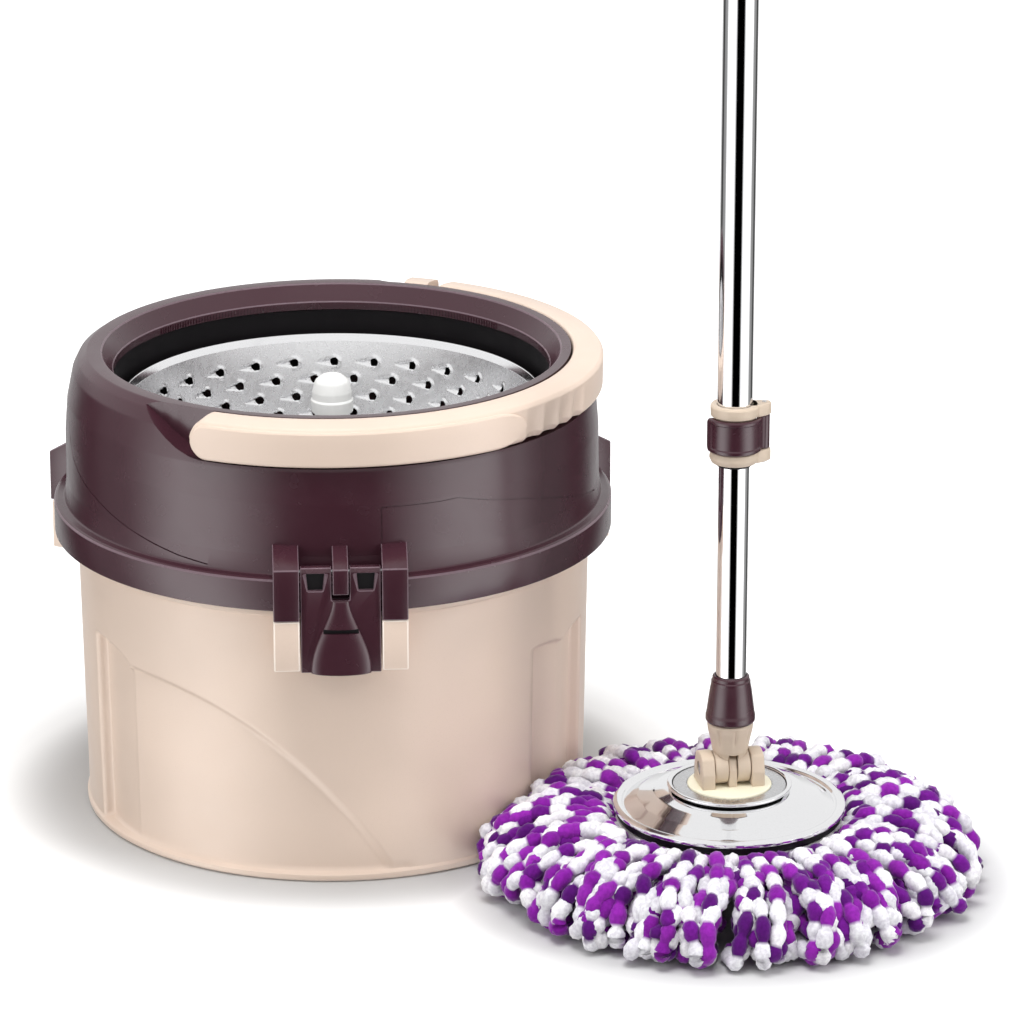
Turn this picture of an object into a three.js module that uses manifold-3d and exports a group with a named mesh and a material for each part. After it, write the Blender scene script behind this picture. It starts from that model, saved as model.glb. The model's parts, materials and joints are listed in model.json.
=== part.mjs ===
// Spin mop set: a wringing bucket with a free-spinning steel basket, and a twist mop standing beside it.
// Millimetres, +Z up. Origin: the bucket's axis at the floor. The front latch faces -Y.
import * as THREE from 'three';
import { mergeVertices } from 'three/addons/utils/BufferGeometryUtils.js';
import Module from 'manifold-3d';

const wasm = await Module();
wasm.setup();

// ---- driving dimensions ----
const GAP = 0.4; // clearance between separate pieces
const BUCKET_SIDES = 40; // facets round the bucket
const DISC_SIDES = 24; // facets round the mop head
const POLE_SIDES = 16; // facets round the pole
const EAR_STEPS = 8; // facets over the top of a bracket ear
const LATCH_TURN = { front: 0, right: 120, left: 240 }; // degrees about Z, from the front
const BOSS_TURN = [60, 180, 300]; // degrees about Z, between the latches

const TUB = {
  base: 156, top: 162, wall: 3, floor: 3.5, bead: 3.2, beadFrom: 174.8, rim: 170.5, height: 196.3,
};
const HOUSING = {
  flange: 175, flangeFrom: 181, flangeTo: 201.6, skirt: 3.5, dome: 166.6, wall: 3.6,
  crest: 142, top: 295, lip: 132, lipAt: 279, liner: 134.3, linerWall: 3, linerFrom: 236,
};
// The seat of the bail; from and to are degrees about Z.
const RECESS = { from: 224, to: 434, radius: 149, floor: 270, wall: 3.1 };
const BAIL = { inner: 150.2, outer: 169.4, axis: 283, half: 11, from: 239, to: 419, pin: 3 };
const GRIP = { from: 237, to: 311, outer: 171.6, low: 275.5, high: 290.5 };
// The blocks and arms beside a latch lever.
const BLOCK = { inner: 25.7, outer: 39.7, face: 184, low: 147, top: 211, back: 219.5 };
const LEVER = { half: 23.8, back: 176.3, face: 182, low: 143.5, pivot: 178, pivotAt: 208.4, pin: 1.5 };
const NOTCH = { half: 5.2, prong: 4.7, low: 194, prongLow: 198 }; // in the lever's top, for the middle prong
const CATCH = { half: 16.5, tip: 170, low: 153.5, high: 158.5 };
const BASKET = { floor: 170.5, floorRadius: 101, rim: 130.3, rimAt: 268.5, sheet: 1.2, hole: 12 };
const HUB = { flange: 34, post: 11, dome: 13, top: 284, bore: 7.4, boreTo: 252, screwRing: 24 };
const CRADLE = { low: 148, high: 160.1, boss: 16, reach: 153, armHalf: 10, screwRing: 147 };
const SPINDLE = { radius: 3.9, shoulder: 6.5, low: 131, top: 248 };

const MOP = { x: 236, y: -164, yaw: 8.7 }; // where the mop stands, and how its tilt axis is turned
const DISC = { radius: 69.6, low: 42.3, high: 48.4, skirt: 52, skirtWall: 3, socket: 13.6, socketWall: 2.4 };
const COVER = { radius: 70.5, hole: 22, top: 60.6, sheet: 1.1 };
const PLATE = { radius: 25.6, boss: 21.6, low: 61, high: 62.4 };
const TRIM = { inner: 26.2, outer: 37.5 };
const YARN = { inner: 58, outer: 150, top: 51, clear: 3 };
const JOINT = { at: 73.5, ear: 11, earFrom: 11.4, earTo: 19.5, pin: 4, knuckle: 10.4 };
const TUBE = { outer: 9.2, inner: 8.4, low: 102, high: 640 };
const SLEEVE = { outer: 10.5, inner: 9.8, low: 272, high: 860 };
const FERRULE = { low: 99.4, high: 131.8, inner: 9.6, screwAt: 112 };
const TWIST = { pitch: 100, width: 7, thick: 1.6, low: 300, high: 838, stepsPerTurn: 12, play: 2.2 };
const BUSH = { low: 612, seat: 616, high: 652, outer: 9.3, stub: 8, bore: 4.3, cage: 7 };
const CLAMP = {
  low: 266, high: 306, ring: 14.2, waist: 12.6, inner: 10.9, leverLow: 276, leverHigh: 296, hinge: 18,
};
const TOP = { grip: 14, gripLow: 740, cap: 930, holeAt: 906, hole: 5 };

// ---- finishes ----
const paint = (color, roughness, metalness = 0) =>
  new THREE.MeshStandardMaterial({ color, roughness, metalness });
const CREAM = paint('#e9d3c6', 0.35);
const BROWN = paint('#4a333b', 0.3);
const BRIGHT_STEEL = paint('#d9d9dc', 0.12, 1);
const SATIN_STEEL = paint('#b9b9bc', 0.3, 1);
const WHITE = paint('#f5f5f5', 0.25);
const BLACK = paint('#1d1b1c', 0.4);
const BEIGE = paint('#d3c5aa', 0.4);
const PURPLE = paint('#87209a', 0.95);

// ---- shapes ----
const degrees = THREE.MathUtils.degToRad;

function toSolid(geometry) {
  const bare = geometry.clone();
  bare.deleteAttribute('normal');
  bare.deleteAttribute('uv');
  const merged = mergeVertices(bare, 1e-4);
  const corners = [];
  for (let i = 0; i < merged.index.count; i += 3) {
    const [a, b, c] = merged.index.array.slice(i, i + 3);
    if (a !== b && b !== c && c !== a) corners.push(a, b, c);
  }
  return new wasm.Manifold(new wasm.Mesh({
    numProp: 3,
    vertProperties: new Float32Array(merged.attributes.position.array),
    triVerts: new Uint32Array(corners),
  }));
}

function toGeometry(solid) {
  const { vertProperties, triVerts } = solid.getMesh();
  const geometry = new THREE.BufferGeometry();
  geometry.setAttribute('position', new THREE.BufferAttribute(vertProperties, 3));
  geometry.setIndex(new THREE.BufferAttribute(triVerts, 1));
  geometry.computeVertexNormals();
  return geometry;
}

const join = (first, ...rest) => toGeometry(rest.reduce((all, one) => all.add(toSolid(one)), toSolid(first)));
const cut = (first, ...rest) =>
  toGeometry(rest.reduce((left, one) => left.subtract(toSolid(one)), toSolid(first)));
const common = (a, b) => toGeometry(toSolid(a).intersect(toSolid(b)));
const turn = (geometry, angle) => geometry.clone().rotateZ(degrees(angle));
const outline = (points) => new THREE.Shape(points.map(([x, y]) => new THREE.Vector2(x, y)));

// A solid of revolution about Z from [radius, height] points, closed along the axis or on itself.
function turned(points, sides = BUCKET_SIDES) {
  const profile = points.map(([r, z]) => new THREE.Vector2(r, z));
  const onAxis = profile[0].x === 0 && profile.at(-1).x === 0;
  if (!onAxis) profile.push(profile[0].clone());
  if (THREE.ShapeUtils.area(profile) < 0) profile.reverse();
  return new THREE.LatheGeometry(profile, sides).rotateX(Math.PI / 2);
}

function block(x0, x1, y0, y1, z0, z1) {
  return new THREE.BoxGeometry(x1 - x0, y1 - y0, z1 - z0)
    .translate((x0 + x1) / 2, (y0 + y1) / 2, (z0 + z1) / 2);
}

function post(radius, z0, z1, x = 0, y = 0, sides = 12) {
  return new THREE.CylinderGeometry(radius, radius, z1 - z0, sides)
    .rotateX(Math.PI / 2).translate(x, y, (z0 + z1) / 2);
}

// A round bar along X, at a distance out towards -Y.
function crossBar(radius, x0, x1, out, z, sides = 12) {
  return new THREE.CylinderGeometry(radius, radius, x1 - x0, sides)
    .rotateZ(Math.PI / 2).translate((x0 + x1) / 2, -out, z);
}

// A round bar along a radius of the bucket or the pole.
function spoke(radius, r0, r1, angle, z, sides = 12) {
  return new THREE.CylinderGeometry(radius, radius, r1 - r0, sides)
    .rotateZ(degrees(angle - 90))
    .translate(Math.cos(degrees(angle)) * (r0 + r1) / 2, Math.sin(degrees(angle)) * (r0 + r1) / 2, z);
}

// A side view of [out towards -Y, up] points, as wide as x0 to x1.
function sideways(points, x0, x1) {
  const turnedSide = new THREE.Matrix4().makeBasis(
    new THREE.Vector3(0, -1, 0), new THREE.Vector3(0, 0, 1), new THREE.Vector3(-1, 0, 0));
  return new THREE.ExtrudeGeometry(outline(points), { depth: x1 - x0, bevelEnabled: false })
    .applyMatrix4(turnedSide).translate(x1, 0, 0);
}

// A front view of [across, up] points, from one distance out to another.
function frontways(points, out0, out1) {
  return new THREE.ExtrudeGeometry(outline(points), { depth: out1 - out0, bevelEnabled: false })
    .rotateX(Math.PI / 2).translate(0, -out0, 0);
}

function sector(from, to, r0, r1, z0, z1, steps = 24) {
  const shape = new THREE.Shape();
  shape.absarc(0, 0, r1, degrees(from), degrees(to), false);
  shape.absarc(0, 0, r0, degrees(to), degrees(from), true);
  return new THREE.ExtrudeGeometry(shape, { depth: z1 - z0, bevelEnabled: false, curveSegments: steps })
    .translate(0, 0, z0);
}

// A flat strip twisted about Z, its angle set by the height alone, so that strip and slot stay in phase.
function twistedStrip(width, thick, z0, z1) {
  const steps = Math.ceil((z1 - z0) / TWIST.pitch * TWIST.stepsPerTurn);
  const strip = new THREE.BoxGeometry(width, thick, z1 - z0, 1, 1, steps).translate(0, 0, (z0 + z1) / 2);
  const place = strip.attributes.position;
  for (let i = 0; i < place.count; i += 1) {
    const point = new THREE.Vector3().fromBufferAttribute(place, i);
    point.applyAxisAngle(new THREE.Vector3(0, 0, 1), -2 * Math.PI * point.z / TWIST.pitch);
    place.setXYZ(i, point.x, point.y, point.z);
  }
  return strip;
}

// A screw that stands on its head: a round head at the bottom and a plain shank above it.
function screw(head, shank, z0, headHeight, z1) {
  const seat = z0 + headHeight;
  return turned([[0, z0], [head, z0], [head, seat], [shank, seat], [shank, z1], [0, z1]], 8);
}

function ringOf(r0, r1, z0, z1, sides) {
  return turned([[r0, z0], [r1, z0], [r1, z1], [r0, z1]], sides);
}

const threeTimes = (geometry, turns) => turns.map((angle) => turn(geometry, angle));
const mirrored = (make) => [make(1), make(-1)];

// ---- bucket ----
function tub() {
  const { base, top, wall, floor, bead, beadFrom, rim, height } = TUB;
  const outside = turned([
    [0, 0], [base - 2, 0], [base, 1.5], [base, 6], [base + 1, 7.5], [top, beadFrom],
    [top + bead, beadFrom + 1.5], [top + bead, beadFrom + 5], [top + 0.6, beadFrom + 6.2],
    [top + 0.8, height - 5], [rim, height - 4.5], [rim, height], [0, height]]);
  const inside = turned([
    [0, floor], [base - 7, floor], [base - wall, 7.5], [top - wall, beadFrom], [top - wall, height + 5],
    [0, height + 5]]);
  const guards = mirrored((side) => block(
    ...[side * BLOCK.inner, side * BLOCK.outer].sort((a, b) => a - b),
    -BLOCK.face + 1, -150, BLOCK.low, HOUSING.flangeFrom - GAP - 0.4));
  const catchBar = sideways([[150, CATCH.low], [CATCH.tip, CATCH.low], [CATCH.tip, CATCH.low + 2],
    [164, CATCH.high + 2], [150, CATCH.high + 2]], -CATCH.half, CATCH.half);
  const fittings = [...guards, catchBar].flatMap((piece) => threeTimes(piece, Object.values(LATCH_TURN)));
  return cut(join(outside, ...fittings), inside);
}

function upperHousing() {
  const h = HOUSING;
  const shell = turned([
    [h.flange, h.flangeFrom], [h.flange, h.flangeTo - 2.5], [h.flange - 2.5, h.flangeTo],
    [h.dome + 0.9, h.flangeTo + 0.4], [h.dome, 246], [164.2, 271.5], [161.3, 284], [157.5, 291.4],
    [153, h.top], [h.crest, h.top], [h.lip, h.lipAt], [h.lip, h.lipAt - 3],
    [h.liner, h.lipAt - 6], [h.liner, h.flangeFrom]]);
  const hollow = turned([
    [130, 170], [h.flange - h.skirt, 170], [h.flange - h.skirt, TUB.height + 0.5],
    [h.dome - h.wall, TUB.height + 0.5], [h.dome - h.wall, 246], [159.4, 274], [152, 291],
    [143.5, 291], [h.liner + h.linerWall, 280], [h.liner + h.linerWall, h.linerFrom], [130, h.linerFrom]]);
  const keptRound = sector(RECESS.from - 1.5, RECESS.to + 1.5, RECESS.radius - RECESS.wall, 190,
    RECESS.floor - RECESS.wall, 310);
  const recess = sector(RECESS.from, RECESS.to, RECESS.radius, 190, RECESS.floor, 310);
  const armSide = [[150, h.flangeFrom], [BLOCK.face, h.flangeFrom], [BLOCK.face, BLOCK.top],
    [h.dome, BLOCK.back], [150, BLOCK.back]];
  const prongSide = [
    [150, NOTCH.prongLow], [BLOCK.face, NOTCH.prongLow], [BLOCK.face, BLOCK.top], [h.dome, BLOCK.back],
    [150, BLOCK.back]];
  const arms = [
    sideways(armSide, BLOCK.inner, BLOCK.outer),
    sideways(armSide, -BLOCK.outer, -BLOCK.inner),
    sideways(prongSide, -NOTCH.prong, NOTCH.prong)];
  const pinHole = crossBar(LEVER.pin + GAP, -60, 60, LEVER.pivot, LEVER.pivotAt);
  const boss = sideways([[140, CRADLE.high + GAP], [154, CRADLE.high + GAP], [154, 197], [164.5, 200],
    [164.5, 236], [148, 236], [140, 225]], -9, 9);
  const bossHole = post(2.4, 150, 174, 0, -CRADLE.screwRing);
  const turns = Object.values(LATCH_TURN);
  const bailHoles = [BAIL.from, BAIL.to].map((angle) => spoke(BAIL.pin + GAP, 144, 152, angle, BAIL.axis));
  const outerForm = join(shell, ...arms.flatMap((arm) => threeTimes(arm, turns)));
  const opened = cut(outerForm, recess, cut(hollow, keptRound), ...threeTimes(pinHole, turns), ...bailHoles);
  return cut(join(opened, ...threeTimes(boss, BOSS_TURN)), ...threeTimes(bossHole, BOSS_TURN));
}

function basketCradle() {
  const { low, high, boss, reach, armHalf, screwRing } = CRADLE;
  const arm = block(-armHalf, armHalf, -reach, 0, low, high - 2);
  const pad = block(-armHalf, armHalf, -reach, -(screwRing - 8), low, high);
  const hub = turned([[0, 140], [boss, 140], [boss, high - 2], [0, high - 2]], 16);
  const screwHole = post(2.6, low - 5, high + 5, 0, -screwRing);
  const solid = join(hub, ...threeTimes(arm, BOSS_TURN), ...threeTimes(pad, BOSS_TURN));
  return cut(solid, post(SPINDLE.radius + GAP, 130, 170), ...threeTimes(screwHole, BOSS_TURN));
}

function spindle() {
  const { radius, shoulder, low, top } = SPINDLE;
  return turned([[0, low], [radius, low], [radius, CRADLE.high - 1.7], [shoulder, CRADLE.high - 1.7],
    [shoulder, 175.6], [radius, 175.6], [radius, top], [0, top]], 12);
}

const spindleNut = () => cut(post(7.5, 132.5, 139.6, 0, 0, 6), post(SPINDLE.radius + GAP, 130, 142));
const cradleScrew = () => screw(4.2, 2, CRADLE.low - 3.4, 3, 172).translate(0, -CRADLE.screwRing, 0);
const latchPin = () =>
  crossBar(LEVER.pin, -BLOCK.outer + 0.8, BLOCK.outer - 0.8, LEVER.pivot, LEVER.pivotAt, 10);

function bailPin(angle) {
  const head = spoke(5, 142, RECESS.radius - RECESS.wall - GAP, angle, BAIL.axis);
  return join(spoke(BAIL.pin, 143, 166, angle, BAIL.axis), head);
}

function bailHandle() {
  const { inner, outer, axis, half, from, to, pin } = BAIL;
  const ring = turned([
    [inner, axis - 8], [inner + 2, axis - half], [outer - 2.4, axis - half], [outer, axis - 8],
    [outer, axis + 7.5], [outer - 3.4, axis + half], [inner + 6, axis + half], [inner, axis + 8]]);
  const bow = common(ring, sector(from, to, 100, 200, 260, 310));
  const ends = [from, to].map((angle) => spoke(half, inner + 0.6, outer - 0.8, angle, axis, 16));
  const holes = [from, to].map((angle) => spoke(pin + GAP, inner - 3, outer - 2.4, angle, axis));
  return cut(join(bow, ...ends), ...holes);
}

function gripInsert() {
  const { from, to, outer, low, high } = GRIP;
  const inner = BAIL.outer + GAP;
  const ring = turned([
    [inner, low], [outer - 0.6, low], [outer, low + 1.5], [outer, high - 1.5], [outer - 0.6, high],
    [inner, high]]);
  return common(ring, sector(from, to, 100, 200, 260, 310));
}

function latchLever() {
  const { half, back, face, low, pivot, pivotAt, pin } = LEVER;
  const plate = sideways([
    [back, low], [face, low], [face, pivotAt + 1], [pivot + 2.2, pivotAt + 3.2], [pivot - 2.2, pivotAt + 3.2],
    [pivot - 3.4, pivotAt + 1.2], [pivot - 3.4, pivotAt - 1.8], [back, pivotAt - 3.8]], -half, half);
  const hookTop = CATCH.low - 0.6;
  const hook = sideways([[back + 1, low + 3], [back + 1, hookTop], [166, hookTop], [166.6, low + 5]],
    -CATCH.half + 1.5, CATCH.half - 1.5);
  const thumb = frontways([
    [-16.5, low], [16.5, low], [14.5, 157], [10, 175], [5, 190], [4, 193], [-4, 193], [-5, 190], [-10, 175],
    [-14.5, 157]], face - 1, face + 4);
  const notch = block(-NOTCH.half, NOTCH.half, -200, -150, NOTCH.low, 230);
  const windows = mirrored((side) => block(
    ...[side * 8.9, side * 19.3].sort((a, b) => a - b), -200, -150, 195.6, 205.2));
  const slot = block(-7, 7, -face - 9, -face - 2.2, 173.2, 176);
  const bore = crossBar(pin + GAP, -half - 5, half + 5, pivot, pivotAt);
  return cut(join(plate, hook, thumb), notch, ...windows, slot, bore);
}

// ---- basket ----
function spinBasket() {
  const { floor, floorRadius, rim, rimAt, sheet, hole } = BASKET;
  const bowl = turned([
    [hole, floor], [floorRadius, floor], [105, floor + 3.5], [rim - 2, rimAt - 7], [rim, rimAt - 5],
    [rim, rimAt - 1],
    [rim - 1.2, rimAt], [rim - 3.4, rimAt - 1], [rim - 3.3, rimAt - 6.6], [105 - 1.3, floor + 4.3],
    [floorRadius - 0.5, floor + sheet], [hole, floor + sheet]], 32);
  const drains = Array.from({ length: 8 }, (_, i) => turn(post(6, floor - 5, floor + 5, 68, 0, 8), i * 45));
  const screwHoles = threeTimes(post(2.2, floor - 5, floor + 5, 0, -HUB.screwRing, 8), BOSS_TURN);
  return cut(bowl, ...drains, ...screwHoles);
}

function hubPost() {
  const { flange, post: shaft, dome, top, bore, boreTo, screwRing } = HUB;
  const seat = BASKET.floor + BASKET.sheet + GAP;
  const body = turned([
    [0, boreTo], [bore, boreTo], [bore, seat], [flange, seat], [flange, seat + 4], [flange - 6, seat + 8],
    [14, seat + 12],
    [shaft, seat + 22], [shaft, 258], [dome, 260.5], [dome, 269], [dome - 2.2, 277.5],
    [dome - 7, top - 1.2], [0, top]], 16);
  const holes = threeTimes(post(2, seat - 5, seat + 6.2, 0, -screwRing, 8), BOSS_TURN);
  return cut(body, ...holes);
}

function hubClampPlate() {
  const plate = ringOf(8, 31, BASKET.floor - 4.4, BASKET.floor - GAP, 16);
  return cut(plate, ...threeTimes(post(2.2, 160, 175, 0, -HUB.screwRing, 8), BOSS_TURN));
}

const bearing = (z) => ringOf(SPINDLE.radius + GAP, HUB.bore - GAP, z, z + 8, 14);
const hubScrew = () => screw(3.6, 1.6, BASKET.floor - 6.9, 2.1, 177.6).translate(0, -HUB.screwRing, 0);

// ---- mop head ----
function mopDisc() {
  const { radius, low, high, skirt, skirtWall, socket, socketWall } = DISC;
  const plate = turned([
    [0, low], [socket, low], [socket, 30], [socket + socketWall, 30], [socket + socketWall, low],
    [skirt, low], [skirt, 24], [skirt + skirtWall, 24], [skirt + skirtWall, low], [radius, low],
    [radius, high], [0, high]], DISC_SIDES);
  return cut(plate, ...threeTimes(post(1.9, low - 3, high + 3, 0, -18.8, 8), [0, 120, 240]));
}

function discCover() {
  const { radius, hole, top, sheet } = COVER;
  const dome = [[64.5, 49.9], [56, 54.8], [38, 60.2], [hole, top]];
  const under = dome.map(([r, z]) => [Math.max(r - 0.3, hole), z - sheet]).reverse();
  return turned([[radius, 48.8], [radius, 49.9], ...dome, ...under], DISC_SIDES);
}

const trimRing = () => ringOf(TRIM.inner, TRIM.outer, PLATE.low, PLATE.high - 0.4, DISC_SIDES);

function hubPlate() {
  const { radius, boss, low, high } = PLATE;
  const body = turned(
    [[0, 48.8], [boss, 48.8], [boss, low], [radius, low], [radius, high], [0, high]], DISC_SIDES);
  const discHoles = threeTimes(post(1.9, 45, 57.5, 0, -18.8, 8), [0, 120, 240]);
  const ears = mirrored((side) => [post(3.4, 45, 52.6, side * 15, 0, 10), post(2, 45, 70, side * 15, 0, 8)]);
  return cut(body, ...discHoles, ...ears.flat().map((hole) => turn(hole, MOP.yaw)));
}

function yarnRing() {
  const { inner, outer, top, clear } = YARN;
  const ring = turned([
    [inner, 2], [inner + 8, 0], [outer - 10, 0], [outer, 10], [outer - 1, 25], [outer - 12, 38],
    [112, top - 2.5], [90, top], [76, top - 1], [72.5, 34], [70, 27], [inner, 27]], 30);
  const tubSide = post(TUB.base + 2 + clear, -10, 80, -MOP.x, -MOP.y, BUCKET_SIDES);
  return cut(ring, tubSide);
}

const yarnBand = () =>
  ringOf(DISC.skirt + DISC.skirtWall + GAP, DISC.radius - 0.2, 27.4, DISC.low - GAP, DISC_SIDES);

function earSide(radius, foot) {
  const points = [[-radius, foot], [radius, foot]];
  for (let i = 0; i <= EAR_STEPS; i += 1) {
    const angle = Math.PI * i / EAR_STEPS;
    points.push([radius * Math.cos(angle), JOINT.at + radius * Math.sin(angle)]);
  }
  return points;
}

function pivotBracket() {
  const { at, ear, earFrom, earTo, pin } = JOINT;
  const foot = PLATE.high + GAP;
  const ears = [sideways(earSide(ear, foot), earFrom, earTo), sideways(earSide(ear, foot), -earTo, -earFrom)];
  const bars = mirrored((side) =>
    block(-earTo, earTo, ...[side * 10.8, side * 14].sort((a, b) => a - b), foot, foot + 1.8));
  const bore = crossBar(pin + GAP, -30, 30, 0, at, 12);
  const screwHoles = mirrored((side) => post(2, foot - 2, 68.8, side * 15, 0, 8));
  return cut(join(...ears, ...bars), bore, ...screwHoles);
}

const pivotPin = () => crossBar(JOINT.pin, -JOINT.earTo + 0.8, JOINT.earTo - 0.8, 0, JOINT.at, 12);
const bracketScrew = (side) => screw(3, 1.6, 49.4, 2.6, 68).translate(side * 15, 0, 0);
const discScrew = () => screw(2.8, 1.5, DISC.low - 2.4, 2, 57).translate(0, -18.8, 0);

// ---- lower pole ----
function yoke() {
  const { knuckle, earFrom, at, pin } = JOINT;
  const barrel = crossBar(knuckle, -earFrom + GAP, earFrom - GAP, 0, at, 16);
  const stem = turned([
    [0, at], [8.5, at], [8.5, 82], [9.3, 84], [12.8, FERRULE.low - GAP], [8, FERRULE.low - GAP], [8, 126],
    [0, 126]],
    POLE_SIDES);
  const bore = crossBar(pin + GAP, -20, 20, 0, at, 12);
  return cut(join(barrel, stem), bore, spoke(1.9, 2.5, 20, 90, FERRULE.screwAt, 8));
}

function ferrule() {
  const { low, high, inner, screwAt } = FERRULE;
  const sleeve = turned(
    [[inner, low], [14.9, low], [14.9, 104], [13.4, 118], [11.4, high - 1.2], [inner, high]], POLE_SIDES);
  return cut(sleeve, spoke(1.9, 5, 20, 90, screwAt, 8));
}

function lowerTube() {
  const wall = ringOf(TUBE.inner, TUBE.outer, TUBE.low, TUBE.high, POLE_SIDES);
  return cut(wall, spoke(1.9, 5, 20, 90, FERRULE.screwAt, 8));
}

const ferruleScrew = () =>
  join(spoke(1.5, 3, 15, 90, FERRULE.screwAt, 8), spoke(2.8, 14.6, 16.2, 90, FERRULE.screwAt, 8));

// ---- twist drive ----
function slideBush() {
  const { low, seat, high, outer, stub, bore, cage } = BUSH;
  return turned([
    [bore, low], [stub, low], [stub, TUBE.high + GAP], [outer, TUBE.high + GAP], [outer, high], [cage, high],
    [cage, seat], [bore, seat]], POLE_SIDES);
}

const nutRetainer = () => ringOf(BUSH.bore, BUSH.cage - GAP, 634.4, BUSH.high - GAP, 16);

function driveNut() {
  const slot = twistedStrip(TWIST.width + 1.2, TWIST.thick + TWIST.play, 600, 650);
  return cut(post(BUSH.cage - GAP, BUSH.seat + GAP, 634, 0, 0, 16), slot);
}

const twistRod = () => twistedStrip(TWIST.width, TWIST.thick, TWIST.low, TWIST.high);

function rodPlug() {
  const slot = twistedStrip(TWIST.width + 1.2, TWIST.thick + TWIST.play, TWIST.high - 20, TWIST.high + 0.6);
  return cut(post(SLEEVE.inner - GAP - 0.1, TWIST.high - 12, TWIST.high + 4.6, 0, 0, 16), slot);
}

// ---- upper pole ----
const rivetHole = () => spoke(1.9, 5, 20, 90, 302, 8);
const upperTube = () =>
  cut(ringOf(SLEEVE.inner, SLEEVE.outer, SLEEVE.low, SLEEVE.high, POLE_SIDES), rivetHole());

function clampBody() {
  const { low, high, ring, waist, inner, leverLow, leverHigh, hinge } = CLAMP;
  const body = turned([
    [inner, low], [ring + 0.8, low], [ring, leverLow - 2], [waist, leverLow - 0.6], [waist, leverHigh + 0.6],
    [ring, leverHigh + 2], [ring, high], [inner, high]], POLE_SIDES);
  const lug = (z0, z1) => join(block(11.5, hinge, -4.2, 4.2, z0, z1), post(4.2, z0, z1, hinge, 0, 14));
  const pinHole = post(2, low - 5, high + 5, hinge, 0, 12);
  return cut(join(body, lug(low, leverLow - 0.6), lug(leverHigh + 0.6, high)), pinHole, rivetHole());
}

const clampCollet = () =>
  ringOf(TUBE.outer + GAP, SLEEVE.outer, CLAMP.low + 0.4, SLEEVE.low - GAP, POLE_SIDES);
const clampLeverPin = () => post(1.5, CLAMP.low + 1, CLAMP.high - 1, CLAMP.hinge, 0, 10);
const clampRivet = () => spoke(1.5, SLEEVE.inner + 0.3, 15.4, 90, 302, 8);

function clampLever() {
  const { leverLow, leverHigh, hinge } = CLAMP;
  const bow = sector(-184, -18, 13.2, 16.4, leverLow, leverHigh, 16);
  const knuckle = post(3.5, leverLow, leverHigh, hinge, 0, 14);
  const link = block(14.2, 18.4, -6.4, -1.5, leverLow, leverHigh);
  const tip = turn(block(14.6, 18.2, -1.6, 6.4, leverLow, leverHigh), 180);
  return cut(join(bow, knuckle, link, tip), post(2, leverLow - 5, leverHigh + 5, hinge, 0, 12));
}

function handGrip() {
  const { grip, gripLow } = TOP;
  const inner = SLEEVE.outer + GAP;
  const top = SLEEVE.high - GAP;
  return turned([
    [inner, gripLow], [grip - 1, gripLow], [grip + 1, gripLow + 4], [grip + 0.6, gripLow + 10],
    [grip - 1, gripLow + 30], [grip, gripLow + 65], [grip - 0.6, top - 15], [grip, top], [inner, top],
  ], POLE_SIDES);
}

function hangerCap() {
  const { grip, cap, holeAt, hole } = TOP;
  const body = turned([
    [0, TWIST.high + 5], [SLEEVE.inner - GAP - 0.1, TWIST.high + 5],
    [SLEEVE.inner - GAP - 0.1, SLEEVE.high + GAP],
    [grip, SLEEVE.high + GAP], [grip, cap - 42], [grip - 1.4, cap - 20], [grip - 5, cap - 6],
    [grip - 9, cap - 1],
    [0, cap]], POLE_SIDES);
  return cut(body, spoke(hole, -20, 20, 90, holeAt, 14));
}

// ---- assembly ----
const set = new THREE.Group();

function place(group, name, geometry, material) {
  const mesh = new THREE.Mesh(geometry, material);
  mesh.name = name;
  group.add(mesh);
  return mesh;
}

const bucket = new THREE.Group();
place(bucket, 'tub', tub(), CREAM);
place(bucket, 'upper_housing', upperHousing(), BROWN);
place(bucket, 'basket_cradle', basketCradle(), BEIGE);
place(bucket, 'spindle', spindle(), SATIN_STEEL);
place(bucket, 'spindle_nut', spindleNut(), SATIN_STEEL);
BOSS_TURN.forEach((angle, i) => {
  place(bucket, `cradle_screw_${i + 1}`, cradleScrew(), SATIN_STEEL).rotation.z = degrees(angle);
});
for (const [side, angle] of Object.entries(LATCH_TURN)) {
  place(bucket, `latch_pin_${side}`, latchPin(), SATIN_STEEL).rotation.z = degrees(angle);
  place(bucket, `latch_lever_${side}`, latchLever(), BROWN).rotation.z = degrees(angle);
}
place(bucket, 'bail_pin_front', bailPin(BAIL.from), BROWN);
place(bucket, 'bail_pin_rear', bailPin(BAIL.to), BROWN);
place(bucket, 'bail_handle', bailHandle(), CREAM);
place(bucket, 'grip_insert', gripInsert(), CREAM);

const basket = new THREE.Group();
place(basket, 'spin_basket', spinBasket(), BRIGHT_STEEL);
place(basket, 'hub_post', hubPost(), WHITE);
place(basket, 'hub_clamp_plate', hubClampPlate(), SATIN_STEEL);
place(basket, 'bearing_lower', bearing(176), SATIN_STEEL);
place(basket, 'bearing_upper', bearing(236), SATIN_STEEL);
BOSS_TURN.forEach((angle, i) => {
  place(basket, `hub_screw_${i + 1}`, hubScrew(), SATIN_STEEL).rotation.z = degrees(angle);
});
bucket.add(basket);

const mopHead = new THREE.Group();
mopHead.position.set(MOP.x, MOP.y, 0);
place(mopHead, 'mop_disc', mopDisc(), BLACK);
place(mopHead, 'disc_cover', discCover(), BRIGHT_STEEL);
place(mopHead, 'trim_ring', trimRing(), SATIN_STEEL);
place(mopHead, 'hub_plate', hubPlate(), WHITE);
place(mopHead, 'yarn_band', yarnBand(), WHITE);
place(mopHead, 'yarn_ring', yarnRing(), PURPLE);
[0, 120, 240].forEach((angle, i) => {
  place(mopHead, `disc_screw_${i + 1}`, discScrew(), SATIN_STEEL).rotation.z = degrees(angle);
});

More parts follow.
